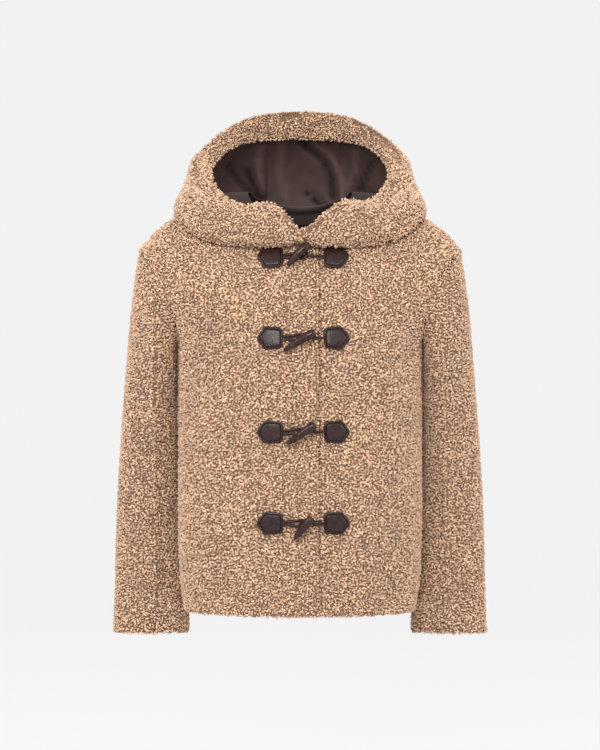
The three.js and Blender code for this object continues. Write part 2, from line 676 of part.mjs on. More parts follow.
function asManifold(geometry) {
  const merged = mergeVertices(geometry, 1e-4);
  return new wasm.Manifold(new wasm.Mesh({
    numProp: 3,
    vertProperties: new Float32Array(merged.attributes.position.array),
    triVerts: new Uint32Array(merged.index.array),
  }));
}

function asGeometry(manifold) {
  const mesh = manifold.getMesh();
  const geometry = new THREE.BufferGeometry();
  geometry.setAttribute('position', new THREE.Float32BufferAttribute(mesh.vertProperties, 3));
  geometry.setIndex(Array.from(mesh.triVerts));
  return geometry;
}

function block(margin) {
  const reach = 600;
  const width = CENTRE_PANEL.xMax - CENTRE_PANEL.xMin + 2 * margin;
  const geometry = new THREE.BoxGeometry(width, reach, reach * 2);
  geometry.deleteAttribute('normal');
  geometry.deleteAttribute('uv');
  geometry.translate((CENTRE_PANEL.xMax + CENTRE_PANEL.xMin) / 2, CENTRE_PANEL.yMin - margin + reach / 2, 0);
  return asManifold(geometry);
}

function addThreePieces(name, geometry, material) {
  const whole = asManifold(geometry);
  add(`${name}_centre`, asGeometry(whole.intersect(block(-SEAM_GAP / 2))), material);
  for (const piece of whole.subtract(block(SEAM_GAP / 2)).decompose()) {
    const box = piece.boundingBox();
    const isLeft = box.min[0] + box.max[0] > 0;
    add(`${name}_${isLeft ? 'left' : 'right'}`, asGeometry(piece), material);
  }
}

function makeHood() {
  const shellAzimuths = hoodAzimuths(HOOD_AZIMUTHS[0]);
  const shellRows = rowsFrom(shellAzimuths, shellSection);
  const shell = wall(shellRows, PILE_WALL, {
    inward: (i, j, normal) => {
      const az = shellAzimuths[j];
      if (i === shellRows.length - 1) return turned(rimInward(az), az);
      return j === 0 || j === shellAzimuths.length - 1 ? inSection(normal, az).negate() : null;
    },
  });
  addThreePieces('hood', shell, MATERIALS.pile);

  const facingAzimuths = hoodAzimuths(FACING_START);
  const facingRows = rowsFrom(facingAzimuths, facingSection);
  add('hood_facing', wall(facingRows, FACING_WALL, {
    inward: (i, j) => {
      const az = facingAzimuths[j];
      if (i === 0) return turned(rimInward(az), az);
      return i === facingRows.length - 1 ? turned(lipInward(az), az) : null;
    },
  }), MATERIALS.pile);

  const liningAzimuths = hoodAzimuths(LINING_START);
  const liningRows = rowsFrom(liningAzimuths, liningSection);
  const lining = wall(liningRows, LINING_WALL, {
    inward: (i, j) => {
      const az = liningAzimuths[j];
      return i === liningRows.length - 1 ? turned(lipInward(az), az).negate() : null;
    },
  });
  addThreePieces('hood_lining', lining, MATERIALS.lining);
}

// The tape over the back neck seam, inside the back

function makeNeckBand() {
  const azimuths = Array.from({ length: BAND.steps + 1 }, (_, k) => mix(BAND.from, BAND.to, k / BAND.steps));
  const rows = rowsFrom(azimuths, (az) => [1, 0.5, 0].map((share) => {
    const seam = neckZ(az);
    return flat(bodyRadius(az, seam) - PILE_WALL - BAND.inset, seam - BAND.top - BAND.height * share);
  }));
  add('neck_band', wall(rows, BAND_WALL), MATERIALS.lining);
}

// Closures

// The patch's outline with its corners softened, inset from its edge
function patchOutline(inset) {
  const corners = PATCH_OUTLINE.map((p) => new THREE.Vector2(p.out, p.up));
  return corners.flatMap((corner, i) => {
    const before = corners[(i + corners.length - 1) % corners.length];
    const after = corners[(i + 1) % corners.length];
    const start = corner.clone().add(before.clone().sub(corner).setLength(PATCH.cornerRadius));
    const end = corner.clone().add(after.clone().sub(corner).setLength(PATCH.cornerRadius));
    const chamfer = start.clone().lerp(end, 0.5).lerp(corner, 0.35);
    return [start.lerp(chamfer, 0.25), end.lerp(chamfer, 0.25)].map((point) => (
      point.multiplyScalar(1 - inset / point.length())));
  });
}

function makePatch(name, centreX, closure, outward) {
  const ring = (inset, off) => patchOutline(inset).map((p) => (
    onFront(centreX + outward * p.x, closure.z + p.y, off)));
  const top = closure.off + PATCH.thickness;
  const rings = [ring(0, closure.off), ring(0, top - PATCH.bevel), ring(PATCH.bevel, top),
    ring(PATCH.centre, top)];
  const ordered = outward > 0 ? rings : rings.map((points) => points.slice().reverse());
  add(name, loft(ordered), MATERIALS.leather);
}

function pathOnFront(stations, closure, steps) {
  const curve = new THREE.CatmullRomCurve3(stations.map((s) => new THREE.Vector3(s.x, s.off, s.up)), false,
    'centripetal');
  return Array.from({ length: steps + 1 }, (_, k) => {
    const p = curve.getPoint(k / steps);
    return onFront(p.x, closure.z + p.z, closure.off + p.y);
  });
}

function makeLoop(name, closure) {
  const startX = LOOP_PATCH_X + PATCH.end + 2 * SEAM_GAP;
  const strand = (sign) => [
    { x: startX, up: 2.3 * sign, off: CORD_OFF }, { x: startX + 7, up: 2.3 * sign, off: CORD_OFF },
    { x: startX + 15, up: 3.2 * sign, off: CORD_OFF + 0.4 }, { x: 1, up: 5 * sign, off: CORD_OFF + 2 },
    { x: 7, up: 4.4 * sign, off: LOOP_RISE },
  ];
  const stations = [...strand(1), { x: 10, up: 0, off: LOOP_RISE + 0.3 }, ...strand(-1).reverse()];
  const path = pathOnFront(stations, closure, 18);
  add(name, rod(path, () => CORD_RADIUS, () => CORD_RADIUS, 8), MATERIALS.leather);
}

function makeCord(name, closure) {
  const stations = [
    { x: TOGGLE_PATCH_X - PATCH.end - 2 * SEAM_GAP, up: 0, off: CORD_OFF }, { x: 22, up: 0, off: CORD_OFF - 0.1 },
    { x: 11, up: 0, off: CORD_OFF - 0.2 }, { x: 3.6, up: 0, off: CORD_OFF + 0.3 },
    { x: 0.2, up: 0, off: 6 }, { x: -0.6, up: 0, off: 8.8 },
  ];
  const path = pathOnFront(stations, closure, 9);
  const width = (i) => mix(closure.cordWidth, CORD_RADIUS, smoothstep((i - 2) / 3));
  add(name, rod(path, width, () => CORD_RADIUS, 8), MATERIALS.leather);
}

function makeHorn(name, closure) {
  const stations = [0, 0.06, 0.15, 0.25, 0.37, 0.5, 0.62, 0.71, 0.8, 0.88, 0.95, 1];
  const path = stations.map((t) => onFront(
    mix(closure.tipX, closure.headX, t),
    closure.z + mix(closure.tipZ, closure.headZ, t),
    horn('off', t),
  ));
  const radius = (i) => horn('radius', stations[i]);
  add(name, rod(path, radius, radius, 10), MATERIALS.horn);
}

function makeClosures() {
  CLOSURES.forEach((closure, i) => {
    const row = i + 1;
    makePatch(`patch_loop_${row}`, LOOP_PATCH_X, closure, -1);
    makePatch(`patch_toggle_${row}`, TOGGLE_PATCH_X, closure, 1);
    makeLoop(`loop_${row}`, closure);
    makeCord(`cord_${row}`, closure);
    makeHorn(`toggle_${row}`, closure);
  });
}

makeFronts();
makeBack();
makeSleeves();
makeHood();
makeNeckBand();
makeClosures();

export default group;
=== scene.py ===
"""Looks of a short hooded duffle coat: curly pile cloth, a satin hood lining, leather patches and cords,
and horn toggles. Metres, +Z up, the front faces -Y and +X is the wearer's left."""

import json
import math

import bpy
import numpy as np
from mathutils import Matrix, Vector
from mathutils.bvhtree import BVHTree

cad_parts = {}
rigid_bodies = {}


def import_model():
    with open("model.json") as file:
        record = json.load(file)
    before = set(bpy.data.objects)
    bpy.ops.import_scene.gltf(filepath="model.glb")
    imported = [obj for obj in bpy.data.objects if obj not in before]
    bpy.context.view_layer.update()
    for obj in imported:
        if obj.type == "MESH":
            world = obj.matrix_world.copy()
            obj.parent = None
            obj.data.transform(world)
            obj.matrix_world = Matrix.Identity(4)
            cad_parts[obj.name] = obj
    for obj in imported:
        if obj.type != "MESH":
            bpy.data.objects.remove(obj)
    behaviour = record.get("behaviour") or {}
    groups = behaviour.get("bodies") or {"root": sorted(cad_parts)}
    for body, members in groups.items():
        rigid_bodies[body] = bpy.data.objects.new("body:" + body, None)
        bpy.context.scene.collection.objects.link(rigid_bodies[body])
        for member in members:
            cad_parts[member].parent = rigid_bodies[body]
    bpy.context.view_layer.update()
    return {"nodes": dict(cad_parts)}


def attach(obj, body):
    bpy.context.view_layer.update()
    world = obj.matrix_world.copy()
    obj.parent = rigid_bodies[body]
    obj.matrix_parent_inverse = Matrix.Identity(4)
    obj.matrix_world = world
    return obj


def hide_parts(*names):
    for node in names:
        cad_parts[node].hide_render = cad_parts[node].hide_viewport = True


bl_info = {
    "name": "Hooded duffle coat",
    "version": (1, 0, 0),
    "blender": (4, 5, 0),
    "location": "3D View > Sidebar > Duffle coat",
    "description": "Dresses the duffle coat's frame in pile cloth, satin, leather and horn",
    "category": "Object",
}

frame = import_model()

MM = 0.001
BODY = "root"


def table(columns, *rows):
    """Rows of values under named columns."""
    return [dict(zip(columns.split(), row)) for row in rows]


# Pile cloth

BODY_NODES = ("front_over", "front_under", "back", "neck_band")
HOOD_NODES = (
    "hood_right", "hood_left", "hood_centre", "hood_facing",
    "hood_lining_right", "hood_lining_left", "hood_lining_centre",
)
SLEEVE_NODES = ("sleeve_right_top", "sleeve_right_under", "sleeve_left_top", "sleeve_left_under")
NEIGHBOURHOODS = (BODY_NODES, HOOD_NODES, SLEEVE_NODES[:2], SLEEVE_NODES[2:])

# Each cloth piece: the size it was cut to, the share of it that its shape fills, and what it is sewn to
PIECE_COLUMNS = "node cut share sewn_to"
PILE_PIECES = table(
    PIECE_COLUMNS,
    ("front_over", (0.34, 0.62), 0.8, ["back", "sleeve_right_top"]),
    ("front_under", (0.34, 0.62), 0.8, ["back", "sleeve_left_top"]),
    ("back", (0.54, 0.64), 0.85, ["front_over", "front_under"]),
    ("sleeve_right_top", (0.24, 0.56), 0.78, ["front_over", "back"]),
    ("sleeve_right_under", (0.16, 0.50), 0.82, ["sleeve_right_top"]),
    ("sleeve_left_top", (0.24, 0.56), 0.78, ["front_under", "back"]),
    ("sleeve_left_under", (0.16, 0.50), 0.82, ["sleeve_left_top"]),
    ("hood_right", (0.36, 0.40), 0.7, ["front_over", "hood_centre"]),
    ("hood_left", (0.36, 0.40), 0.7, ["front_under", "hood_centre"]),
    ("hood_centre", (0.13, 0.46), 0.9, ["back", "hood_right"]),
    ("hood_facing", (0.80, 0.05), 0.7, ["hood_right", "hood_left"]),
)

# Soft creases pressed into the pile cloth: the line they follow, how wide and deep they are, where a
# negative depth is a ridge, and which way the cloth faces there
PILE_CREASES = table(
    "start end width depth faces",
    ((0.195, -0.010, -0.375), (0.268, -0.008, -0.412), 0.016, 0.0040, (0.2, -1.0, 0.0)),
    ((0.192, 0.004, -0.452), (0.262, 0.000, -0.431), 0.013, 0.0030, (0.2, -1.0, 0.0)),
    ((0.200, -0.030, -0.305), (0.250, -0.030, -0.345), 0.015, 0.0025, (0.2, -1.0, 0.0)),
    ((-0.192, -0.012, -0.362), (-0.262, -0.010, -0.404), 0.015, 0.0038, (-0.2, -1.0, 0.0)),
    ((-0.195, 0.002, -0.440), (-0.270, 0.000, -0.448), 0.014, 0.0032, (-0.2, -1.0, 0.0)),
    ((-0.198, 0.014, -0.520), (-0.244, 0.010, -0.500), 0.012, 0.0024, (-0.2, -1.0, 0.0)),
    ((0.190, 0.105, -0.400), (0.262, 0.095, -0.372), 0.016, 0.0038, (0.2, 1.0, 0.0)),
    ((-0.190, 0.105, -0.415), (-0.262, 0.095, -0.380), 0.015, 0.0034, (-0.2, 1.0, 0.0)),
    ((0.120, -0.118, -0.330), (0.132, -0.112, -0.600), 0.030, 0.0036, (0.3, -1.0, 0.0)),
    ((-0.112, -0.118, -0.380), (-0.130, -0.112, -0.605), 0.028, 0.0034, (-0.3, -1.0, 0.0)),
    ((-0.168, -0.070, -0.235), (-0.110, -0.105, -0.275), 0.016, 0.0032, (-0.6, -1.0, 0.0)),
    ((0.168, -0.070, -0.230), (0.104, -0.108, -0.262), 0.016, 0.0032, (0.6, -1.0, 0.0)),
    ((-0.186, 0.035, -0.200), (-0.186, 0.040, -0.330), 0.022, 0.0045, (-1.0, 0.0, 0.0)),
    ((0.186, 0.035, -0.200), (0.186, 0.040, -0.330), 0.022, 0.0045, (1.0, 0.0, 0.0)),
    ((0.070, 0.112, -0.300), (0.088, 0.110, -0.600), 0.034, 0.0040, (0.2, 1.0, 0.0)),
    ((-0.078, 0.112, -0.260), (-0.090, 0.110, -0.600), 0.032, 0.0042, (-0.2, 1.0, 0.0)),
    ((0.000, 0.114, -0.220), (0.004, 0.112, -0.420), 0.022, -0.0022, (0.0, 1.0, 0.0)),
    ((0.085, 0.150, -0.055), (0.130, 0.185, 0.020), 0.016, 0.0045, (0.6, 1.0, -0.4)),
    ((-0.090, 0.150, -0.052), (-0.138, 0.180, 0.012), 0.015, 0.0042, (-0.6, 1.0, -0.4)),
    ((0.010, 0.205, -0.070), (0.018, 0.238, 0.010), 0.015, 0.0034, (0.0, 1.0, -0.2)),
)

# Folds in the hood's lining where the camera sees them, as points of the picture plane: across and up.
# Their depth also sets the satin's painted shade, and a negative depth a painted highlight
LINING_FOLDS = table(
    "line width depth",
    (((-0.083, 0.060), (-0.070, 0.034), (-0.055, 0.004)), 0.0060, 0.0050),
    (((-0.113, 0.064), (-0.092, 0.040), (-0.069, 0.012)), 0.0065, 0.0042),
    (((-0.062, 0.092), (-0.066, 0.062), (-0.060, 0.030)), 0.0070, -0.0024),
    (((0.005, 0.102), (0.036, 0.080), (0.050, 0.050), (0.053, 0.020)), 0.0060, 0.0044),
    (((0.020, 0.100), (0.052, 0.078), (0.064, 0.048), (0.066, 0.020)), 0.0060, -0.0030),
    (((0.012, 0.026), (0.026, 0.014), (0.042, 0.004)), 0.0055, 0.0046),
    (((-0.030, 0.100), (-0.032, 0.060), (-0.022, 0.020)), 0.0090, -0.0020),
    (((0.110, 0.066), (0.100, 0.044), (0.085, 0.017)), 0.0065, 0.0042),
    (((0.086, 0.086), (0.088, 0.060), (0.078, 0.034)), 0.0060, -0.0022),
    (((0.100, 0.030), (0.112, 0.024), (0.124, 0.018)), 0.0050, 0.0034),
)

# The depth at which the fold attribute, the lining's painted shade, is 1, and how much deeper than the
# table the folds are pressed
FOLD_DEPTH = 0.005
FOLD_STRETCH = 1.5
# The folds begin this far behind the neck and deepen over the fade
FOLDS = {"front": 0.05, "fade": 0.04}
# In front of this depth the lining turns under beside the neck, and gets painted shade that deepens over
# the fade
TUCK = {"front": 0.03, "fade": 0.02, "dark": 0.8}

LINING_CUTS = table(
    PIECE_COLUMNS,
    ("hood_lining_right", (0.28, 0.32), 0.6, ["hood_facing"]),
    ("hood_lining_left", (0.28, 0.32), 0.6, ["hood_facing"]),
    ("hood_lining_centre", (0.13, 0.36), 0.9, ["hood_facing"]),
)
BAND_CUT = table(PIECE_COLUMNS, ("neck_band", (0.17, 0.017), 0.95, ["back"]))[0]

# Edges that turn by more than this stay crisp
SHARP = math.radians(45)
MERGE = 1e-5
QUAD_LIMITS = {"face_threshold": math.radians(40), "shape_threshold": math.radians(60)}
CREASE_ATTRIBUTE = "crease_edge"
TINY = 1e-12

# How far a ray looks from a wall's face for the coat's other side, and from the facing's for the cloth
# behind it. It starts a little off the face
LOOK_ACROSS = 1.0
LOOK_BEHIND = 0.020
RAY_START = 0.0002
# A region with a smaller share of its wall's area is a rim. The strips beside the opening are wider
RIM_SHARE = {"front_under": 0.16, "hood_left": 0.15, "hood_right": 0.15}
USUAL_RIM_SHARE = 0.08
OUTER = 0
RIM = 1
INNER = 2
# The places of a pile piece's two materials
GROUND = 0
BACKING = 1
# The ground sinks this share as much along a seam as elsewhere
SEAM_SINK = 0.15
# How far the curls' feet stand above the ground
CURL_FOOT = 0.0008
# The turned-in edges round the neck, which the pile doesn't cover and which take the near-black backing as
# painted shade
NECKLINE = {"radius": 0.086, "seam": 0.070, "low": -0.030, "high": 0.012, "leaning": 0.3}
# How often the cloth, the cords and the finer pieces are subdivided
CLOTH_LEVELS = 1
CORD_LEVELS = 1
FINE_LEVELS = 2

CLOSURES = (1, 2, 3, 4)

# The camera stands level with the coat's middle
CAMERA = {"place": (0.0, -3.6, -0.2625), "lens": 115.2, "film": 36.0}


def a_colour(name, description, default):
    return bpy.props.FloatVectorProperty(
        name=name, description=description, subtype="COLOR", default=default, size=3)


def a_length(name, description, default, **limits):
    return bpy.props.FloatProperty(
        name=name, description=description, default=default, unit="LENGTH", **limits)


class PileSettings(bpy.types.PropertyGroup):
    """The curly pile cloth"""

    spacing: a_length(
        "Curl spacing", "Closest distance between the roots of two curls", 0.00322, min=0.003)
    length: a_length("Curl length", "Length of one curl along its bend", 0.0067)
    thickness: a_length("Curl thickness", "Thickness of one curl at its middle", 0.0051)
    sink: a_length("Ground sink", "How far the ground cloth lies below the pile's surface", 0.0018)
    # The tip, middle and root colours grade the curls from painted highlight at their tips to painted
    # shade at their roots and on the ground between them
    tip: a_colour("Tip colour", "Colour of the curls where they stand out", (0.75, 0.505, 0.340))
    middle: a_colour("Middle colour", "Colour along the curls' sides", (0.60, 0.375, 0.238))
    root: a_colour("Root colour", "Colour between the curls", (0.39, 0.212, 0.120))
    # The backing colour is near black as painted shade deep inside the coat
    backing: a_colour("Backing colour", "Colour of the inside of the coat", (0.010, 0.008, 0.008))


class LiningSettings(bpy.types.PropertyGroup):
    """The hood's lining and the neck tape"""

    colour: a_colour("Satin colour", "Colour of the lining", (0.088, 0.054, 0.049))
    tape: a_colour("Tape colour", "Colour of the tape over the neck seam", (0.032, 0.019, 0.018))


class LeatherSettings(bpy.types.PropertyGroup):
    """Patches, loops and cords"""

    colour: a_colour("Leather colour", "Colour of the patches and cords", (0.030, 0.0115, 0.0115))
    thread: a_colour("Thread colour", "Colour of the stitches", (0.010, 0.007, 0.007))
    margin: a_length("Stitch margin", "From the patch's edge to its line of stitches", 0.00335)
    stitch: a_length("Stitch length", "From one stitch to the next", 0.0027)


class HornSettings(bpy.types.PropertyGroup):
    """The toggles"""

    dark: a_colour("Dark horn", "Darkest streaks of the horn", (0.010, 0.0045, 0.0045))
    light: a_colour("Light horn", "Lightest streaks of the horn", (0.046, 0.018, 0.015))


class StageSettings(bpy.types.PropertyGroup):
    """Floor, light and camera"""

    floor_height: a_length("Floor height", "Height of the floor below the neck", -1.15)
    floor: a_colour("Floor colour", "Colour of the pale floor", (0.20, 0.20, 0.20))
    floor_glow: bpy.props.FloatProperty(
        name="Floor glow", description="Light that the floor gives back evenly", default=0.68)


# Small helpers


def only(obj):
    """Selects one object and makes it active."""
    bpy.ops.object.select_all(action="DESELECT")
    obj.select_set(True)
    bpy.context.view_layer.objects.active = obj


def apply_all(obj):
    only(obj)
    for modifier in list(obj.modifiers):
        bpy.ops.object.modifier_apply(modifier=modifier.name)


def settle(obj):
    """Puts an object's place and turn into its mesh."""
    only(obj)
    bpy.ops.object.transform_apply(location=True, rotation=True, scale=True)


def vectors(items, name):
    flat = np.empty(len(items) * 3)
    items.foreach_get(name, flat)
    return flat.reshape(-1, 3)


def link(obj):
    bpy.context.scene.collection.objects.link(obj)


def edit_all(obj, *edits):
    """Runs edit mode operators, each with its values, on the whole of an object."""
    only(obj)
    bpy.ops.object.mode_set(mode="EDIT")
    bpy.ops.mesh.select_all(action="SELECT")
    for edit, values in edits:
        edit(**values)
    bpy.ops.object.mode_set(mode="OBJECT")


def points_of(mesh):
    return vectors(mesh.vertices, "co")


def set_points(mesh, points):
    mesh.vertices.foreach_set("co", np.ascontiguousarray(points, dtype=np.float32).ravel())
    mesh.update()


def copy_of_node(node, name):
    """A free copy of a frame node, with its corners merged and its pairs of triangles made quads."""
    obj = bpy.data.objects.new(name, frame["nodes"][node].data.copy())
    obj.data.name = name
    obj.data.materials.clear()
    link(obj)
    ops = bpy.ops.mesh
    edit_all(obj, (ops.remove_doubles, {"threshold": MERGE}), (ops.tris_convert_to_quads, QUAD_LIMITS))
    return obj


def add_ball(segments, rings, radius):
    bpy.ops.object.select_all(action="DESELECT")
    bpy.ops.mesh.primitive_uv_sphere_add(segments=segments, ring_count=rings, radius=radius)
    return bpy.context.active_object


def joined(objects):
    """Joins objects into the first of them."""
    bpy.ops.object.select_all(action="DESELECT")
    for obj in objects:
        obj.select_set(True)
    bpy.context.view_layer.objects.active = objects[0]
    bpy.ops.object.join()
    return bpy.context.active_object


def subdivide(obj, levels):
    smooth = obj.modifiers.new("smooth", "SUBSURF")
    smooth.levels = levels
    smooth.render_levels = levels
    apply_all(obj)


def faces_around(mesh):
    """The faces beside each edge, by the edge's pair of vertices."""
    around = {}
    for polygon in mesh.polygons:
        for key in polygon.edge_keys:
            around.setdefault(key, []).append(polygon.index)
    return around


def sharp_edges(mesh):
    """Which edges turn by more than the sharp angle, as a set of vertex pairs."""
    limit = math.cos(SHARP)
    sharp = set()
    for key, faces in faces_around(mesh).items():
        normals = [mesh.polygons[face].normal for face in faces]
        if len(normals) < 2 or normals[0].dot(normals[1]) < limit:
            sharp.add(key)
    return sharp


def smooth_cloth(cloth, sharp, levels):
    """Subdivides a cloth piece, with its sharp edges kept."""
    layer = cloth.data.attributes.new(CREASE_ATTRIBUTE, "FLOAT", "EDGE")
    for edge in cloth.data.edges:
        layer.data[edge.index].value = 1.0 if edge.key in sharp else 0.0
    subdivide(cloth, levels)
    bpy.ops.object.shade_smooth_by_angle(angle=SHARP)


def regions_of(mesh, sharp):
    """Groups of faces that no sharp edge parts."""
    around = faces_around(mesh)
    found = []
    seen = set()
    for polygon in mesh.polygons:
        if polygon.index in seen:
            continue
        stack = [polygon.index]
        seen.add(polygon.index)
        region = []
        while stack:
            index = stack.pop()
            region.append(index)
            for key in mesh.polygons[index].edge_keys:
                if key in sharp:
                    continue
                for other in around[key]:
                    if other not in seen:
                        seen.add(other)
                        stack.append(other)
        found.append(region)
    return found


def tree_of(nodes):
    points = []
    faces = []
    for node in nodes:
        mesh = frame["nodes"][node].data
        start = len(points)
        points.extend(vertex.co.copy() for vertex in mesh.vertices)
        faces.extend([start + i for i in polygon.vertices] for polygon in mesh.polygons)
    return BVHTree.FromPolygons(points, faces)


def inside_and_rims(mesh, sharp, node):
    """Faces of a wall that look at the coat's own inside, and those of its rims, region by region."""
    tree = tree_of(next(names for names in NEIGHBOURHOODS if node in names))
    reach = LOOK_BEHIND if node == "hood_facing" else LOOK_ACROSS
    whole = sum(polygon.area for polygon in mesh.polygons)
    inside = set()
    rims = set()
    for region in regions_of(mesh, sharp):
        area = 0.0
        votes = 0.0
        for index in region:
            polygon = mesh.polygons[index]
            start = polygon.center + polygon.normal * RAY_START
            hit = tree.ray_cast(start, polygon.normal, reach)[0]
            votes += polygon.area if hit is not None else -polygon.area
            area += polygon.area
        if area < RIM_SHARE.get(node, USUAL_RIM_SHARE) * whole:
            rims.update(region)
        elif votes > 0:
            inside.update(region)
    if node == "hood_facing":
        return set(), inside | rims
    inside.update(polygon.index for polygon in mesh.polygons if at_neckline(polygon))
    return inside, rims


def at_neckline(polygon):
    """Whether a face looks into the neck opening from close by, or lies in the seam round it."""
    place = polygon.center
    if not NECKLINE["low"] < place.z < NECKLINE["high"]:
        return False
    across = Vector((place.x, place.y))
    if across.length < NECKLINE["seam"]:
        return True
    leaning = across.dot(polygon.normal.xy) / across.length
    return across.length < NECKLINE["radius"] and leaning < NECKLINE["leaning"]


def along_line(points, line):
    """Distance of each point from a run of straight stretches."""
    nearest = np.full(len(points), np.inf)
    for start, end in zip(line, line[1:]):
        start = np.array(start)
        way = np.array(end) - start
        share = np.clip((points - start) @ way / (way @ way), 0, 1)
        gap = np.linalg.norm(points - start - share[:, None] * way, axis=1)
        nearest = np.minimum(nearest, gap)
    return nearest


def pressed(points):
    """The points with the pile cloth's creases pressed into them."""
    moved = points.copy()
    for crease in PILE_CREASES:
        gap = along_line(points, (crease["start"], crease["end"]))
        share = np.exp(-(gap / crease["width"]) ** 2)
        faces = Vector(crease["faces"]).normalized()
        moved -= np.outer(crease["depth"] * share, np.array(faces))
    return moved


def declare(obj, spec):
    """Attaches a cloth piece to the coat's body and hides the node it stands for."""
    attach(obj, BODY)
    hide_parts(spec["node"])


# Materials


def tinted(colour, share):
    return tuple(share * c for c in colour)


class Shader:
    """A material's node tree, with short ways to add nodes and link them."""

    def __init__(self, name):
        self.material = bpy.data.materials.new(name)
        self.material.use_nodes = True
        self.tree = self.material.node_tree
        self.skin = self.tree.nodes["Principled BSDF"]
        self.place = self.node("ShaderNodeTexCoord").outputs["Object"]

    def node(self, kind, **values):
        made = self.tree.nodes.new(kind)
        for name, value in values.items():
            setattr(made, name, value)
        return made

    def feed(self, socket, value):
        if isinstance(value, bpy.types.NodeSocket):
            self.tree.links.new(value, socket)
        elif socket.type == "RGBA" and len(value) == 3:
            socket.default_value = (*value, 1.0)
        else:
            socket.default_value = value

    def noise(self, scale, detail=2.0, roughness=0.5, place=None):
        made = self.node("ShaderNodeTexNoise")
        self.feed(made.inputs["Vector"], place or self.place)
        made.inputs["Scale"].default_value = scale
        made.inputs["Detail"].default_value = detail
        made.inputs["Roughness"].default_value = roughness
        return made.outputs["Fac"]

    def cells(self, scale, feature="F1", place=None):
        made = self.node("ShaderNodeTexVoronoi", feature=feature)
        self.feed(made.inputs["Vector"], place or self.place)
        made.inputs["Scale"].default_value = scale
        return made.outputs["Distance"]

    def stretched(self, scale, turn=(0.0, 0.0, 0.0)):
        made = self.node("ShaderNodeMapping")
        self.feed(made.inputs["Vector"], self.place)
        made.inputs["Scale"].default_value = scale
        made.inputs["Rotation"].default_value = turn
        return made.outputs["Vector"]

    def span(self, value, low, high, to_low=0.0, to_high=1.0):
        made = self.node("ShaderNodeMapRange")
        self.feed(made.inputs["Value"], value)
        made.inputs["From Min"].default_value = low
        made.inputs["From Max"].default_value = high
        made.inputs["To Min"].default_value = to_low
        made.inputs["To Max"].default_value = to_high
        return made.outputs["Result"]

    def blend(self, share, first, second):
        made = self.node("ShaderNodeMix", data_type="RGBA")
        self.feed(made.inputs["Factor"], share)
        self.feed(made.inputs[6], first)
        self.feed(made.inputs[7], second)
        return made.outputs[2]

    def sum(self, first, second, operation="ADD"):
        made = self.node("ShaderNodeMath", operation=operation)
        self.feed(made.inputs[0], first)
        self.feed(made.inputs[1], second)
        return made.outputs["Value"]

    def attribute(self, name):
        return self.node("ShaderNodeAttribute", attribute_name=name).outputs["Fac"]

    def bump(self, height, depth, strength=1.0):
        made = self.node("ShaderNodeBump")
        made.inputs["Strength"].default_value = strength
        made.inputs["Distance"].default_value = depth
        self.feed(made.inputs["Height"], height)
        if self.skin.inputs["Normal"].is_linked:
            self.feed(made.inputs["Normal"], self.skin.inputs["Normal"].links[0].from_socket)
        self.feed(self.skin.inputs["Normal"], made.outputs["Normal"])

    def finish(self, **values):
        for name, value in values.items():
            self.feed(self.skin.inputs[name.replace("_", " ")], value)
        return self.material


def painted_light_curl_material(pile):
    """Wool curls: paler where they stand out as painted highlight, darker towards the ground as painted
    shade, each a little different.
    """
    look = Shader("curly pile")
    height = look.attribute("height")
    # Paler towards the tips as painted highlight, darker towards the roots as painted shade
    low = look.blend(look.span(height, 0.0, 0.5), pile.root, pile.middle)
    colour = look.blend(look.span(height, 0.45, 1.0), low, pile.tip)
    shade = look.span(look.attribute("shade"), 0.0, 1.0, 0.74, 1.26)
    drift = look.span(look.noise(16.0, detail=3.0), 0.3, 0.7, 0.94, 1.05)
    tone = look.sum(shade, drift, "MULTIPLY")
    toned = look.node("ShaderNodeVectorMath", operation="SCALE")
    look.feed(toned.inputs[0], colour)
    look.feed(toned.inputs["Scale"], tone)
    look.bump(look.noise(1400.0, detail=3.0, roughness=0.6), 0.0006, 0.5)
    return look.finish(
        Base_Color=toned.outputs["Vector"], Roughness=0.85, Sheen_Weight=0.25, Sheen_Roughness=0.5,
        Sheen_Tint=(1.0, 0.86, 0.72))


def painted_shade_ground_material(pile):
    """The knitted ground that shows between the curls, coloured darker than them as painted shade."""
    look = Shader("pile ground")
    bent = look.node("ShaderNodeVectorMath", operation="MULTIPLY_ADD")
    look.feed(bent.inputs[0], look.noise(330.0, detail=1.0))
    bent.inputs[1].default_value = (0.006, 0.006, 0.006)
    look.feed(bent.inputs[2], look.place)
    nubs = look.cells(290.0, place=bent.outputs["Vector"])
    fluff = look.noise(520.0, detail=3.0, roughness=0.7)
    # The ground's colour is darker than the curls' roots, as painted shade between the curls
    dark = tinted(pile.root, 0.52)
    low = look.blend(look.span(nubs, 0.25, 0.62), pile.middle, dark)
    colour = look.blend(look.span(fluff, 0.35, 0.62), dark, low)
    look.bump(nubs, 0.0026, 0.9)
    look.bump(fluff, 0.0010, 0.7)
    return look.finish(Base_Color=colour, Roughness=0.95, Sheen_Weight=0.2)


def weave(look, pitch, depth):
    """Raises the fine diagonal lines of a twill, too fine to see from a step away."""
    wave = look.node("ShaderNodeTexWave", wave_type="BANDS", bands_direction="DIAGONAL")
    look.feed(wave.inputs["Vector"], look.place)
    wave.inputs["Scale"].default_value = 1.0 / (pitch * math.tau)
    wave.inputs["Distortion"].default_value = 0.6
    wave.inputs["Detail"].default_value = 1.0
    look.bump(wave.outputs["Fac"], depth, 0.5)
    return wave.outputs["Fac"]


def painted_shade_backing_material(pile):
    """The woven backing that shows inside the coat, near black as painted shade."""
    look = Shader("dark backing")
    lines = weave(look, 0.0012, 0.0002)
    dark = tinted(pile.backing, 0.6)
    colour = look.blend(look.span(lines, 0.2, 0.9), dark, pile.backing)
    return look.finish(Base_Color=colour, Roughness=0.8, Specular_IOR_Level=0.15)


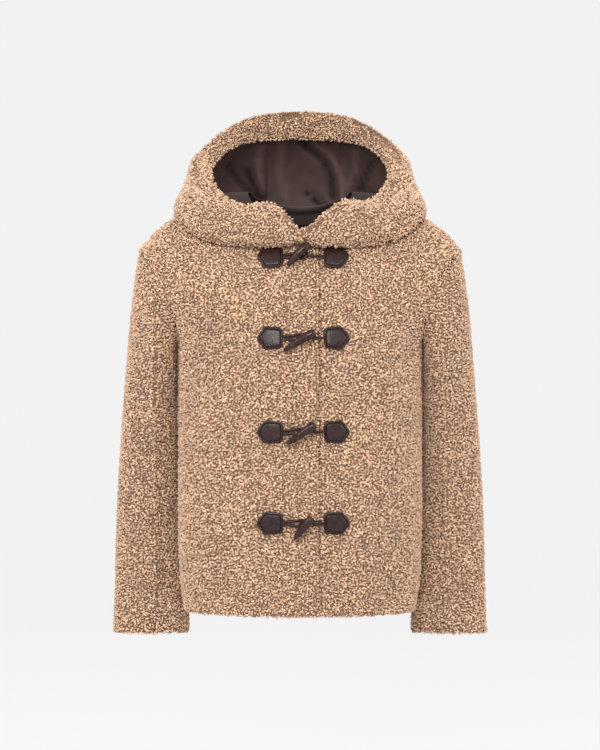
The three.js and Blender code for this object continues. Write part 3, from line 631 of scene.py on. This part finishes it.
def painted_fold_satin_material(lining):
    """Brown satin with a soft gloss and a fine twill, with painted shade in its folds and where it tucks
    under, and painted highlight on the folds' ridges.
    """
    look = Shader("brown satin")
    lines = weave(look, 0.0008, 0.00012)
    dark = tinted(lining.colour, 0.82)
    bright = tinted(lining.colour, 1.15)
    drift = look.noise(22.0, detail=3.0)
    worn = look.blend(look.span(drift, 0.3, 0.7), dark, bright)
    twill = look.blend(look.span(lines, 0.0, 1.0, 0.0, 0.25), worn, dark)
    # The fold attribute paints shade into the folds' troughs and the tuck beside the neck, and a painted
    # highlight onto the folds' ridges
    fold = look.attribute("fold")
    raised = look.blend(look.span(fold, -0.1, -0.6), twill, tinted(lining.colour, 1.7))
    colour = look.blend(look.span(fold, 0.1, 0.9), raised, tinted(lining.colour, 0.3))
    look.bump(look.noise(70.0, detail=4.0), 0.0006, 0.35)
    gloss = look.sum(look.span(drift, 0.3, 0.7, 0.46, 0.56), look.span(fold, 0.3, 0.8, 0.0, 0.4))
    return look.finish(Base_Color=colour, Roughness=gloss, Sheen_Weight=0.12, Sheen_Roughness=0.4,
                       Sheen_Tint=(0.55, 0.40, 0.37), Specular_IOR_Level=0.14)


def tape_material(lining):
    look = Shader("neck tape")
    lines = weave(look, 0.0007, 0.0001)
    dark = tinted(lining.tape, 0.8)
    colour = look.blend(look.span(lines, 0.2, 0.9), dark, lining.tape)
    return look.finish(Base_Color=colour, Roughness=0.7, Specular_IOR_Level=0.15)


def leather_material(name, leather, gloss):
    """Dark leather with a pebbled grain, scuffed paler where it is raised."""
    look = Shader(name)
    grain = look.cells(1100.0, "SMOOTH_F1")
    worn = look.noise(130.0, detail=5.0, roughness=0.65)
    dark = tinted(leather.colour, 0.55)
    bright = tinted(leather.colour, 1.9)
    base = look.blend(look.span(worn, 0.35, 0.65), dark, leather.colour)
    colour = look.blend(look.span(grain, 0.45, 0.1, 0.0, 0.3), base, bright)
    look.bump(grain, 0.00025, 0.5)
    look.bump(look.noise(260.0, detail=3.0), 0.0004, 0.4)
    shine = look.span(worn, 0.3, 0.7, gloss, gloss + 0.12)
    return look.finish(Base_Color=colour, Roughness=shine, Specular_IOR_Level=0.30)


def thread_material(leather):
    look = Shader("waxed thread")
    twist = look.noise(2400.0, detail=2.0)
    dark = tinted(leather.thread, 0.5)
    colour = look.blend(look.span(twist, 0.35, 0.65), dark, leather.thread)
    look.bump(twist, 0.0002, 0.6)
    return look.finish(Base_Color=colour, Roughness=0.55)


def horn_material(horn):
    """Polished dark horn, with streaks that run from the head to the tip."""
    look = Shader("dark horn")
    lengthwise = look.stretched((260.0, 260.0, 55.0), (0.0, math.radians(-52), 0.0))
    streaks = look.noise(1.0, detail=5.0, roughness=0.6, place=lengthwise)
    cloudy = look.noise(60.0, detail=2.0)
    colour = look.blend(look.span(streaks, 0.38, 0.66), horn.dark, horn.light)
    amber = tuple(min(1.0, 1.7 * c) for c in horn.light)
    warm = look.blend(look.span(cloudy, 0.58, 0.75, 0.0, 0.5), colour, amber)
    look.bump(streaks, 0.0005, 0.35)
    return look.finish(Base_Color=warm, Roughness=0.22, Specular_IOR_Level=0.32)


# The curls' own shapes, in degrees: how far each bends, and how far it rolls to its side
CURL_SHAPES = table("bend roll", (150, 12), (190, 38), (110, -28), (220, -10))
CURL_SEGMENTS = 3
# How deep a curl sits, as a share of its thickness
CURL_SEAT = 0.25
# How far a curl may lean, in radians, and the range of its size along, across and up
CURL_TILT = 0.75
CURL_SMALLEST = (0.72, 0.80, 0.75)
CURL_LARGEST = (1.25, 1.20, 1.25)
# More places for each square metre than the spacing leaves room for
CURLS_TRIED = 360000.0
FIRST_SEED = 7
SEED_STEP = 10
# The room a curl's root needs above it, up to the next cloth and to patches, cords and horns
ROOM_TO_CLOTH = 0.0006
ROOM_TO_TRIMS = 0.0042


def curl_shape(name, pile, bend, roll):
    """One curl: a short worm of wool that arches up from the cloth, with its height as an attribute."""
    obj = add_ball(CURL_SEGMENTS, CURL_SEGMENTS, 0.5)
    obj.name = name
    obj.scale = (pile.thickness, pile.thickness, pile.length)
    settle(obj)
    arch = obj.modifiers.new("arch", "SIMPLE_DEFORM")
    arch.deform_method = "BEND"
    arch.deform_axis = "X"
    arch.angle = bend
    apply_all(obj)
    points = points_of(obj.data)
    points -= points.mean(axis=0)
    spread = np.ptp(points, axis=0)
    order = np.argsort(spread)
    points = points[:, [order[2], order[0], order[1]]]
    ends = np.argsort(np.abs(points[:, 0]))[-2:]
    if points[ends, 2].mean() > 0:
        points[:, 2] *= -1
    cos, sin = math.cos(roll), math.sin(roll)
    turn = np.array([[1, 0, 0], [0, cos, -sin], [0, sin, cos]])
    points = points @ turn.T
    points[:, 2] -= points[:, 2].min() + CURL_SEAT * pile.thickness
    set_points(obj.data, points)
    edit_all(obj, (bpy.ops.mesh.normals_make_consistent, {"inside": False}))
    bpy.ops.object.shade_smooth()
    height = obj.data.attributes.new("height", "FLOAT", "POINT")
    top = points[:, 2].max()
    for vertex, z in enumerate(points[:, 2]):
        height.data[vertex].value = min(1.0, max(0.0, z / top))
    return obj


def curl_family(pile):
    """A collection of a few differently bent curls."""
    family = bpy.data.collections.new("curl shapes")
    bpy.context.scene.collection.children.link(family)
    for index, row in enumerate(CURL_SHAPES):
        shape = curl_shape(f"curl_{index}", pile, math.radians(row["bend"]), math.radians(row["roll"]))
        for collection in shape.users_collection:
            collection.objects.unlink(shape)
        family.objects.link(shape)
    return family


def joined_copy(nodes):
    """Frame nodes in one temporary object, which the curls keep clear of."""
    made = []
    for name in nodes:
        copy = bpy.data.objects.new("neighbour", frame["nodes"][name].data.copy())
        link(copy)
        made.append(copy)
    return joined(made)


class Graph:
    """A Geometry Nodes tree, with short ways to add nodes and link them."""

    def __init__(self, name):
        self.tree = bpy.data.node_groups.new(name, "GeometryNodeTree")
        self.tree.interface.new_socket("Geometry", in_out="INPUT", socket_type="NodeSocketGeometry")
        self.tree.interface.new_socket("Geometry", in_out="OUTPUT", socket_type="NodeSocketGeometry")
        self.start = self.tree.nodes.new("NodeGroupInput").outputs["Geometry"]
        self.end = self.tree.nodes.new("NodeGroupOutput").inputs["Geometry"]

    def node(self, kind, inputs, **values):
        made = self.tree.nodes.new(kind)
        for name, value in values.items():
            setattr(made, name, value)
        for name, value in inputs.items():
            socket = made.inputs[name]
            if isinstance(value, bpy.types.NodeSocket):
                self.tree.links.new(value, socket)
            else:
                socket.default_value = value
        return made

    def chance(self, low, high, seed, kind="FLOAT"):
        made = self.tree.nodes.new("FunctionNodeRandomValue")
        made.data_type = kind
        places = {"FLOAT_VECTOR": (0, 1, 0), "FLOAT": (2, 3, 1), "INT": (4, 5, 2)}[kind]
        made.inputs[places[0]].default_value = low
        made.inputs[places[1]].default_value = high
        made.inputs["Seed"].default_value = seed
        return made.outputs[places[2]]


def curl_graph(pile, family, obstacles, seed):
    """Scatters curls over the pile side of a cloth piece, clear of what lies on it."""
    graph = Graph("scatter curls")
    side = graph.node("GeometryNodeInputNamedAttribute", {"Name": "pile_side"}, data_type="BOOLEAN")
    scatter = graph.node("GeometryNodeDistributePointsOnFaces", {
        "Mesh": graph.start, "Selection": side.outputs["Attribute"], "Distance Min": pile.spacing,
        "Density Max": CURLS_TRIED, "Seed": seed,
    }, distribute_method="POISSON")
    here = graph.node("GeometryNodeInputPosition", {})
    keep = graph.node("GeometryNodeCaptureAttribute", {"Geometry": scatter.outputs["Points"]})
    keep.capture_items.new("VECTOR", "Normal")
    graph.tree.links.new(scatter.outputs["Normal"], keep.inputs["Normal"])
    points = keep.outputs["Geometry"]
    for obstacle, room in obstacles:
        target = graph.node("GeometryNodeObjectInfo", {"Object": obstacle})
        look = graph.node("GeometryNodeRaycast", {
            "Target Geometry": target.outputs["Geometry"], "Source Position": here.outputs["Position"],
            "Ray Direction": keep.outputs["Normal"], "Ray Length": room,
        })
        free = graph.node("GeometryNodeDeleteGeometry", {
            "Geometry": points, "Selection": look.outputs["Is Hit"],
        }, domain="POINT")
        points = free.outputs["Geometry"]
    shapes = graph.node("GeometryNodeCollectionInfo", {
        "Collection": family, "Separate Children": True, "Reset Children": True,
    })
    planted = graph.node("GeometryNodeInstanceOnPoints", {
        "Points": points, "Instance": shapes.outputs["Instances"], "Pick Instance": True,
        "Instance Index": graph.chance(0, len(family.objects) - 1, seed + 1, "INT"),
        "Rotation": scatter.outputs["Rotation"],
    })
    turned = graph.node("GeometryNodeRotateInstances", {
        "Instances": planted.outputs["Instances"],
        "Rotation": graph.chance(
            (-CURL_TILT, -CURL_TILT, -math.pi), (CURL_TILT, CURL_TILT, math.pi), seed + 2, "FLOAT_VECTOR"),
        "Local Space": True,
    })
    grown = graph.node("GeometryNodeScaleInstances", {
        "Instances": turned.outputs["Instances"],
        "Scale": graph.chance(CURL_SMALLEST, CURL_LARGEST, seed + 3, "FLOAT_VECTOR"),
    })
    shaded = graph.node("GeometryNodeStoreNamedAttribute", {
        "Geometry": grown.outputs["Instances"], "Name": "shade",
        "Value": graph.chance(0.0, 1.0, seed + 4),
    }, data_type="FLOAT", domain="INSTANCE")
    real = graph.node("GeometryNodeRealizeInstances", {"Geometry": shaded.outputs["Geometry"]})
    graph.tree.links.new(real.outputs["Geometry"], graph.end)
    return graph.tree


def grow_curls(cloth, node, pile, family, seed):
    """The curls of one pile piece, as a piece of their own that lies on it."""
    cloths = BODY_NODES + HOOD_NODES + SLEEVE_NODES
    near = joined_copy([name for name in cloths if name != node])
    trims = joined_copy([name for name in frame["nodes"] if name not in cloths])
    obj = bpy.data.objects.new(f"curls_{node}", cloth.data.copy())
    link(obj)
    scatter = obj.modifiers.new("curls", "NODES")
    obstacles = ((near, ROOM_TO_CLOTH), (trims, ROOM_TO_TRIMS))
    scatter.node_group = curl_graph(pile, family, obstacles, seed)
    apply_all(obj)
    bpy.data.objects.remove(near)
    bpy.data.objects.remove(trims)
    return obj


class COAT_OT_pile_cloth(bpy.types.Operator):
    """Make the fronts, back, sleeves, hood and facing of curly pile cloth"""

    bl_idname = "coat.pile_cloth"
    bl_label = "Pile cloth"

    def execute(self, context):
        pile = context.scene.coat_pile
        ground = painted_shade_ground_material(pile)
        backing = painted_shade_backing_material(pile)
        curled = painted_light_curl_material(pile)
        family = curl_family(pile)
        for place, spec in enumerate(PILE_PIECES):
            node = spec["node"]
            cloth, furry = self.ground_cloth(node, pile)
            cloth.data.materials.append(ground)
            cloth.data.materials.append(backing)
            declare(cloth, spec)
            curls = grow_curls(cloth, node, pile, family, FIRST_SEED + SEED_STEP * place)
            curls.data.materials.clear()
            curls.data.materials.append(curled)
            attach(curls, BODY)
            set_points(cloth.data, points_of(cloth.data) - furry * CURL_FOOT)
        for shape in list(family.objects):
            bpy.data.objects.remove(shape)
        bpy.data.collections.remove(family)
        return {"FINISHED"}

    def ground_cloth(self, node, pile):
        """The wall on the node's form, a little inside it on the pile side, with its creases, and the
        way in which the pile stands at each point."""
        cloth = copy_of_node(node, f"cloth_{node}")
        mesh = cloth.data
        sharp = sharp_edges(mesh)
        inside, rims = inside_and_rims(mesh, sharp, node)
        sides = mesh.attributes.new("wall_side", "INT", "FACE")
        for polygon in mesh.polygons:
            if polygon.index in inside:
                sides.data[polygon.index].value = INNER
                polygon.material_index = GROUND if node in HOOD_NODES else BACKING
            else:
                sides.data[polygon.index].value = RIM if polygon.index in rims else OUTER
                polygon.material_index = GROUND
        smooth_cloth(cloth, sharp, FINE_LEVELS if node in HOOD_NODES else CLOTH_LEVELS)
        outward = np.zeros((len(mesh.vertices), 3))
        furry = np.zeros((len(mesh.vertices), 3))
        sinking = np.ones(len(mesh.vertices))
        flags = mesh.attributes.new("pile_side", "BOOLEAN", "FACE")
        sides = mesh.attributes["wall_side"].data
        for polygon in mesh.polygons:
            corners = list(polygon.vertices)
            # A face at the neckline takes the near-black backing as painted shade
            bare = at_neckline(polygon)
            polygon.material_index = BACKING if bare else polygon.material_index
            flags.data[polygon.index].value = sides[polygon.index].value != INNER and not bare
            if flags.data[polygon.index].value:
                furry[corners] += np.array(polygon.normal) * polygon.area
            if sides[polygon.index].value == OUTER:
                outward[corners] += np.array(polygon.normal) * polygon.area
            else:
                sinking[corners] = SEAM_SINK
        outward *= (sinking / np.maximum(np.linalg.norm(outward, axis=1), TINY))[:, None]
        furry /= np.maximum(np.linalg.norm(furry, axis=1), TINY)[:, None]
        set_points(mesh, pressed(points_of(mesh) - outward * pile.sink))
        mesh.attributes.remove(mesh.attributes["wall_side"])
        return cloth, furry


class COAT_OT_hood_lining(bpy.types.Operator):
    """Make the three pieces of the hood's satin lining, with their folds"""

    bl_idname = "coat.hood_lining"
    bl_label = "Hood lining"

    def execute(self, context):
        satin = painted_fold_satin_material(context.scene.coat_lining)
        for spec in LINING_CUTS:
            lining = copy_of_node(spec["node"], f"satin_{spec['node']}")
            smooth_cloth(lining, sharp_edges(lining.data), FINE_LEVELS)
            self.fold(lining.data)
            lining.data.materials.append(satin)
            declare(lining, spec)
        return {"FINISHED"}

    def fold(self, mesh):
        """Presses the folds into the cloth behind the opening, and notes how deep each point lies as the
        fold attribute, the satin's painted shade, with the tuck beside the neck added.
        """
        points = points_of(mesh)
        seen = points[:, [0, 2]]
        behind = np.clip((points[:, 1] - FOLDS["front"]) / FOLDS["fade"], 0, 1)
        pushed = np.zeros(len(points))
        for fold in LINING_FOLDS:
            gap = along_line(seen, fold["line"])
            pushed += fold["depth"] * np.exp(-(gap / fold["width"]) ** 2) * behind
        moved = points.copy()
        moved[:, 1] += FOLD_STRETCH * pushed
        set_points(mesh, moved)
        # The tuck beside the neck adds painted shade to the fold attribute
        tuck_painted_shade = TUCK["dark"] * np.clip((TUCK["front"] - points[:, 1]) / TUCK["fade"], 0, 1)
        deep = mesh.attributes.new("fold", "FLOAT", "POINT")
        deep.data.foreach_set("value", (pushed / FOLD_DEPTH + tuck_painted_shade).astype(np.float32))


class COAT_OT_neck_band(bpy.types.Operator):
    """Make the tape over the back neck seam"""

    bl_idname = "coat.neck_band"
    bl_label = "Neck band"

    def execute(self, context):
        tape = copy_of_node("neck_band", "tape_neck_band")
        smooth_cloth(tape, sharp_edges(tape.data), FINE_LEVELS)
        tape.data.materials.append(tape_material(context.scene.coat_lining))
        declare(tape, BAND_CUT)
        return {"FINISHED"}


# How much thinner smoothing makes a cord or a horn on each side, which is given back
SMOOTHING_LOSS = 0.0002


def refine(node, name, levels, material):
    """A finer copy of a small solid, with its edges rounded."""
    obj = copy_of_node(node, name)
    subdivide(obj, levels)
    outward = vectors(obj.data.vertex_normals, "vector")
    set_points(obj.data, points_of(obj.data) + SMOOTHING_LOSS * outward)
    bpy.ops.object.shade_smooth()
    obj.data.materials.append(material)
    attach(obj, BODY)
    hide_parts(node)
    return obj


PATCH_GLOSS = 0.21
CORD_GLOSS = 0.36
PATCH_THICKNESS = 0.0024
PATCH_SIDES = 84
# A face of a patch node that faces the camera by more than this is its front
FACING = 0.8
STITCH_SIDES = 6
STITCH_RINGS = 4
STITCH_HEIGHT = 0.0018
STITCH_GIRTH = 0.0008
# The share of a stitch's length that its thread shows, and the turn over which its slant is taken
STITCH_COVER = 0.74
STITCH_TURN = 0.01
OUTLINE_STEPS = 720
# How sharply the patch's sides meet at its corners
CORNER_POWER = 60
# A patch in section, from the middle of its back round the edge to the middle of its front, in mm
PATCH_SECTION = table(
    "inset height",
    (9.0, 0.0),
    (3.0, 0.0),
    (0.6, 0.0),
    (0.1, 0.4),
    (0.0, 1.0),
    (0.1, 1.6),
    (0.5, 2.05),
    (1.1, 2.2),
    (1.6, 2.3),
    (2.0, 2.75),
    (2.5, 2.75),
    (2.8, 2.1),
    (3.1, 1.5),
    (3.6, 1.5),
    (3.9, 2.1),
    (4.3, 2.65),
    (6.0, 2.85),
    (8.5, 3.0),
    (11.0, 3.05),
)


def corners_seen(node):
    """The corners of a flat node's outline as the camera sees it, going round it once."""
    points = sorted({(round(v.co.x, 5), round(v.co.z, 5)) for v in frame["nodes"][node].data.vertices})

    def turns_left(a, b, c):
        return (b[0] - a[0]) * (c[1] - a[1]) > (b[1] - a[1]) * (c[0] - a[0])

    def chain(ordered):
        made = []
        for point in ordered:
            while len(made) > 1 and not turns_left(made[-2], made[-1], point):
                made.pop()
            made.append(point)
        return made[:-1]

    return np.array(chain(points) + chain(points[::-1]))


class Outline:
    """A flat shape with straight sides and softened corners, and its insets."""

    def __init__(self, corners):
        self.middle = corners.mean(axis=0)
        sides = np.roll(corners, -1, axis=0) - corners
        facing = np.stack([sides[:, 1], -sides[:, 0]], axis=1)
        self.facing = facing / np.linalg.norm(facing, axis=1)[:, None]
        self.reach = np.einsum("ij,ij->i", corners - self.middle, self.facing)

    def at(self, angles, inset):
        """Points of the outline in these directions from its middle, moved in by an inset."""
        ways = np.stack([np.cos(angles), np.sin(angles)], axis=1)
        crowding = np.maximum(ways @ self.facing.T, 0) / (self.reach - np.reshape(inset, (-1, 1)))
        radius = (crowding ** CORNER_POWER).sum(axis=1) ** (-1 / CORNER_POWER)
        return self.middle + ways * radius[:, None]


class Surface:
    """The gently curved front of a flat node, as the depth at each place across and up."""

    def __init__(self, node):
        mesh = frame["nodes"][node].data
        front = {v for polygon in mesh.polygons if polygon.normal.y < -FACING for v in polygon.vertices}
        points = np.array([mesh.vertices[v].co for v in front])
        self.middle = points[:, [0, 2]].mean(axis=0)
        self.bend = np.linalg.lstsq(self.terms(points[:, [0, 2]]), points[:, 1], rcond=None)[0]

    def terms(self, places):
        x, z = (places - self.middle).T
        return np.stack([np.ones_like(x), x, z, x * x, x * z, z * z], axis=1)

    def depth(self, places):
        return self.terms(places) @ self.bend


class COAT_OT_patches(bpy.types.Operator):
    """Make the leather patches with their stitched edges"""

    bl_idname = "coat.patches"
    bl_label = "Leather patches"

    def execute(self, context):
        leather = context.scene.coat_leather
        skin = leather_material("patch leather", leather, PATCH_GLOSS)
        thread = thread_material(leather)
        for row in CLOSURES:
            for kind in ("loop", "toggle"):
                node = f"patch_{kind}_{row}"
                outline = Outline(corners_seen(node))
                surface = Surface(node)
                patch = self.cut_patch(f"leather_{node}", outline, surface)
                patch.data.materials.append(skin)
                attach(patch, BODY)
                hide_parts(node)
                seam = self.stitch(f"stitches_{node}", outline, surface, leather)
                seam.data.materials.append(thread)
                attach(seam, BODY)
        return {"FINISHED"}

    def cut_patch(self, name, outline, surface):
        """A ball pressed into the patch's outline, its rings laid along the patch's section."""
        rings = len(PATCH_SECTION) + 1
        patch = add_ball(PATCH_SIDES, rings, 1.0)
        patch.name = name
        ball = points_of(patch.data)
        ring = np.rint(np.arccos(np.clip(ball[:, 2], -1, 1)) / math.pi * rings).astype(int)
        pole = (ring == 0) | (ring == rings)
        station = np.clip(rings - 1 - ring, 0, rings - 2)
        inset = MM * np.array([row["inset"] for row in PATCH_SECTION])[station]
        height = MM * np.array([row["height"] for row in PATCH_SECTION])[station]
        places = outline.at(np.arctan2(ball[:, 1], ball[:, 0]), inset)
        places[pole] = outline.middle
        depth = surface.depth(places) + PATCH_THICKNESS - height
        set_points(patch.data, np.stack([places[:, 0], depth, places[:, 1]], axis=1))
        bpy.ops.object.shade_smooth()
        return patch

    def stitch(self, name, outline, surface, leather):
        """Short waxed stitches that lie in the groove, one after another."""
        angles = np.linspace(0, math.tau, OUTLINE_STEPS, endpoint=False)
        line = outline.at(angles, leather.margin)
        steps = np.linalg.norm(np.roll(line, -1, axis=0) - line, axis=1)
        count = round(steps.sum() / leather.stitch)
        places = np.interp(np.arange(count) * steps.sum() / count, np.cumsum(steps) - steps, angles)
        made = []
        for angle in places:
            start, end = outline.at(angle + np.array([-STITCH_TURN, STITCH_TURN]), leather.margin)
            middle = (start + end) / 2
            depth = float(surface.depth(middle[None])[0]) + PATCH_THICKNESS - STITCH_HEIGHT
            one = add_ball(STITCH_SIDES, STITCH_RINGS, 0.5)
            one.scale = (STITCH_COVER * leather.stitch, STITCH_GIRTH, STITCH_GIRTH)
            one.rotation_euler = (0.0, -math.atan2(end[1] - start[1], end[0] - start[0]), 0.0)
            one.location = (middle[0], depth, middle[1])
            made.append(one)
        seam = joined(made)
        seam.name = name
        settle(seam)
        bpy.ops.object.shade_smooth()
        return seam


class COAT_OT_cords(bpy.types.Operator):
    """Make the leather loops and the toggles' cords"""

    bl_idname = "coat.cords"
    bl_label = "Loops and cords"

    def execute(self, context):
        skin = leather_material("cord leather", context.scene.coat_leather, CORD_GLOSS)
        for row in CLOSURES:
            for kind in ("loop", "cord"):
                refine(f"{kind}_{row}", f"leather_{kind}_{row}", CORD_LEVELS, skin)
        return {"FINISHED"}


class COAT_OT_horns(bpy.types.Operator):
    """Make the horn toggles"""

    bl_idname = "coat.horns"
    bl_label = "Horn toggles"

    def execute(self, context):
        skin = horn_material(context.scene.coat_horn)
        for row in CLOSURES:
            refine(f"toggle_{row}", f"horn_toggle_{row}", FINE_LEVELS, skin)
        return {"FINISHED"}


FLOOR_SIDES = 96
FLOOR_RADIUS = 9.0
SKY = (0.888, 0.888, 0.888, 1.0)
# Where every lamp points
LIT_PLACE = (0.0, 0.0, -0.3)
LAMPS = table(
    "name place size power",
    ("softbox", (-0.3, -3.3, 1.15), 1.1, 60.0),
    ("left side", (-2.4, -2.2, 1.2), 1.6, 30.0),
    ("right side", (2.4, -2.4, 0.8), 1.6, 22.0),
    ("crown", (0.3, 1.6, 2.4), 1.6, 36.0),
)


class COAT_OT_stage(bpy.types.Operator):
    """Set the pale floor, the soft light and the camera"""

    bl_idname = "coat.stage"
    bl_label = "Stage"

    def execute(self, context):
        stage = context.scene.coat_stage
        self.add_camera(context.scene)
        self.add_floor(stage)
        self.add_light()
        context.scene.view_settings.view_transform = "Standard"
        return {"FINISHED"}

    def add_camera(self, scene):
        camera = bpy.data.cameras.new("camera")
        camera.sensor_fit = "VERTICAL"
        camera.sensor_height = CAMERA["film"]
        camera.lens = CAMERA["lens"]
        obj = bpy.data.objects.new("camera", camera)
        obj.location = CAMERA["place"]
        obj.rotation_euler = (math.pi / 2, 0.0, 0.0)
        link(obj)
        scene.camera = obj

    def add_floor(self, stage):
        bpy.ops.object.select_all(action="DESELECT")
        bpy.ops.mesh.primitive_circle_add(vertices=FLOOR_SIDES, radius=FLOOR_RADIUS, fill_type="NGON",
                                          location=(0.0, 0.0, stage.floor_height))
        floor = bpy.context.active_object
        floor.name = "floor"
        settle(floor)
        look = Shader("pale floor")
        speckle = look.noise(9.0, detail=4.0)
        dim = tinted(stage.floor, 0.985)
        floor.data.materials.append(look.finish(
            Base_Color=look.blend(speckle, dim, stage.floor), Roughness=0.9, Specular_IOR_Level=0.1,
            Emission_Color=(1.0, 1.0, 1.0), Emission_Strength=stage.floor_glow))

    def add_light(self):
        world = bpy.data.worlds.new("soft daylight")
        world.use_nodes = True
        sky = world.node_tree.nodes["Background"]
        sky.inputs["Color"].default_value = SKY
        bpy.context.scene.world = world
        for lamp in LAMPS:
            light = bpy.data.lights.new(lamp["name"], "AREA")
            light.energy = lamp["power"]
            light.size = lamp["size"]
            obj = bpy.data.objects.new(lamp["name"], light)
            obj.location = lamp["place"]
            towards = Vector(LIT_PLACE) - obj.location
            obj.rotation_euler = towards.to_track_quat("-Z", "Y").to_euler()
            link(obj)


class COAT_PT_panel(bpy.types.Panel):
    """The coat's settings, and a button for each group of its pieces"""

    bl_label = "Duffle coat"
    bl_idname = "COAT_PT_panel"
    bl_space_type = "VIEW_3D"
    bl_region_type = "UI"
    bl_category = "Duffle coat"

    def draw(self, context):
        for name, _ in SETTINGS:
            group = getattr(context.scene, name)
            box = self.layout.box()
            for prop in group.bl_rna.properties:
                if prop.identifier not in ("rna_type", "name"):
                    box.prop(group, prop.identifier)
        for operator in OPERATORS:
            self.layout.operator(operator.bl_idname)


SETTINGS = (
    ("coat_pile", PileSettings),
    ("coat_lining", LiningSettings),
    ("coat_leather", LeatherSettings),
    ("coat_horn", HornSettings),
    ("coat_stage", StageSettings),
)
OPERATORS = (
    COAT_OT_stage,
    COAT_OT_pile_cloth,
    COAT_OT_hood_lining,
    COAT_OT_neck_band,
    COAT_OT_patches,
    COAT_OT_cords,
    COAT_OT_horns,
)


def register():
    for name, group in SETTINGS:
        bpy.utils.register_class(group)
        setattr(bpy.types.Scene, name, bpy.props.PointerProperty(type=group))
    for operator in OPERATORS:
        bpy.utils.register_class(operator)
    bpy.utils.register_class(COAT_PT_panel)


def unregister():
    bpy.utils.unregister_class(COAT_PT_panel)
    for operator in reversed(OPERATORS):
        bpy.utils.unregister_class(operator)
    for name, group in reversed(SETTINGS):
        delattr(bpy.types.Scene, name)
        bpy.utils.unregister_class(group)


def main():
    register()
    bpy.ops.coat.stage()
    bpy.ops.coat.pile_cloth()
    bpy.ops.coat.hood_lining()
    bpy.ops.coat.neck_band()
    bpy.ops.coat.patches()
    bpy.ops.coat.cords()
    bpy.ops.coat.horns()


if __name__ == "__main__":
    main()
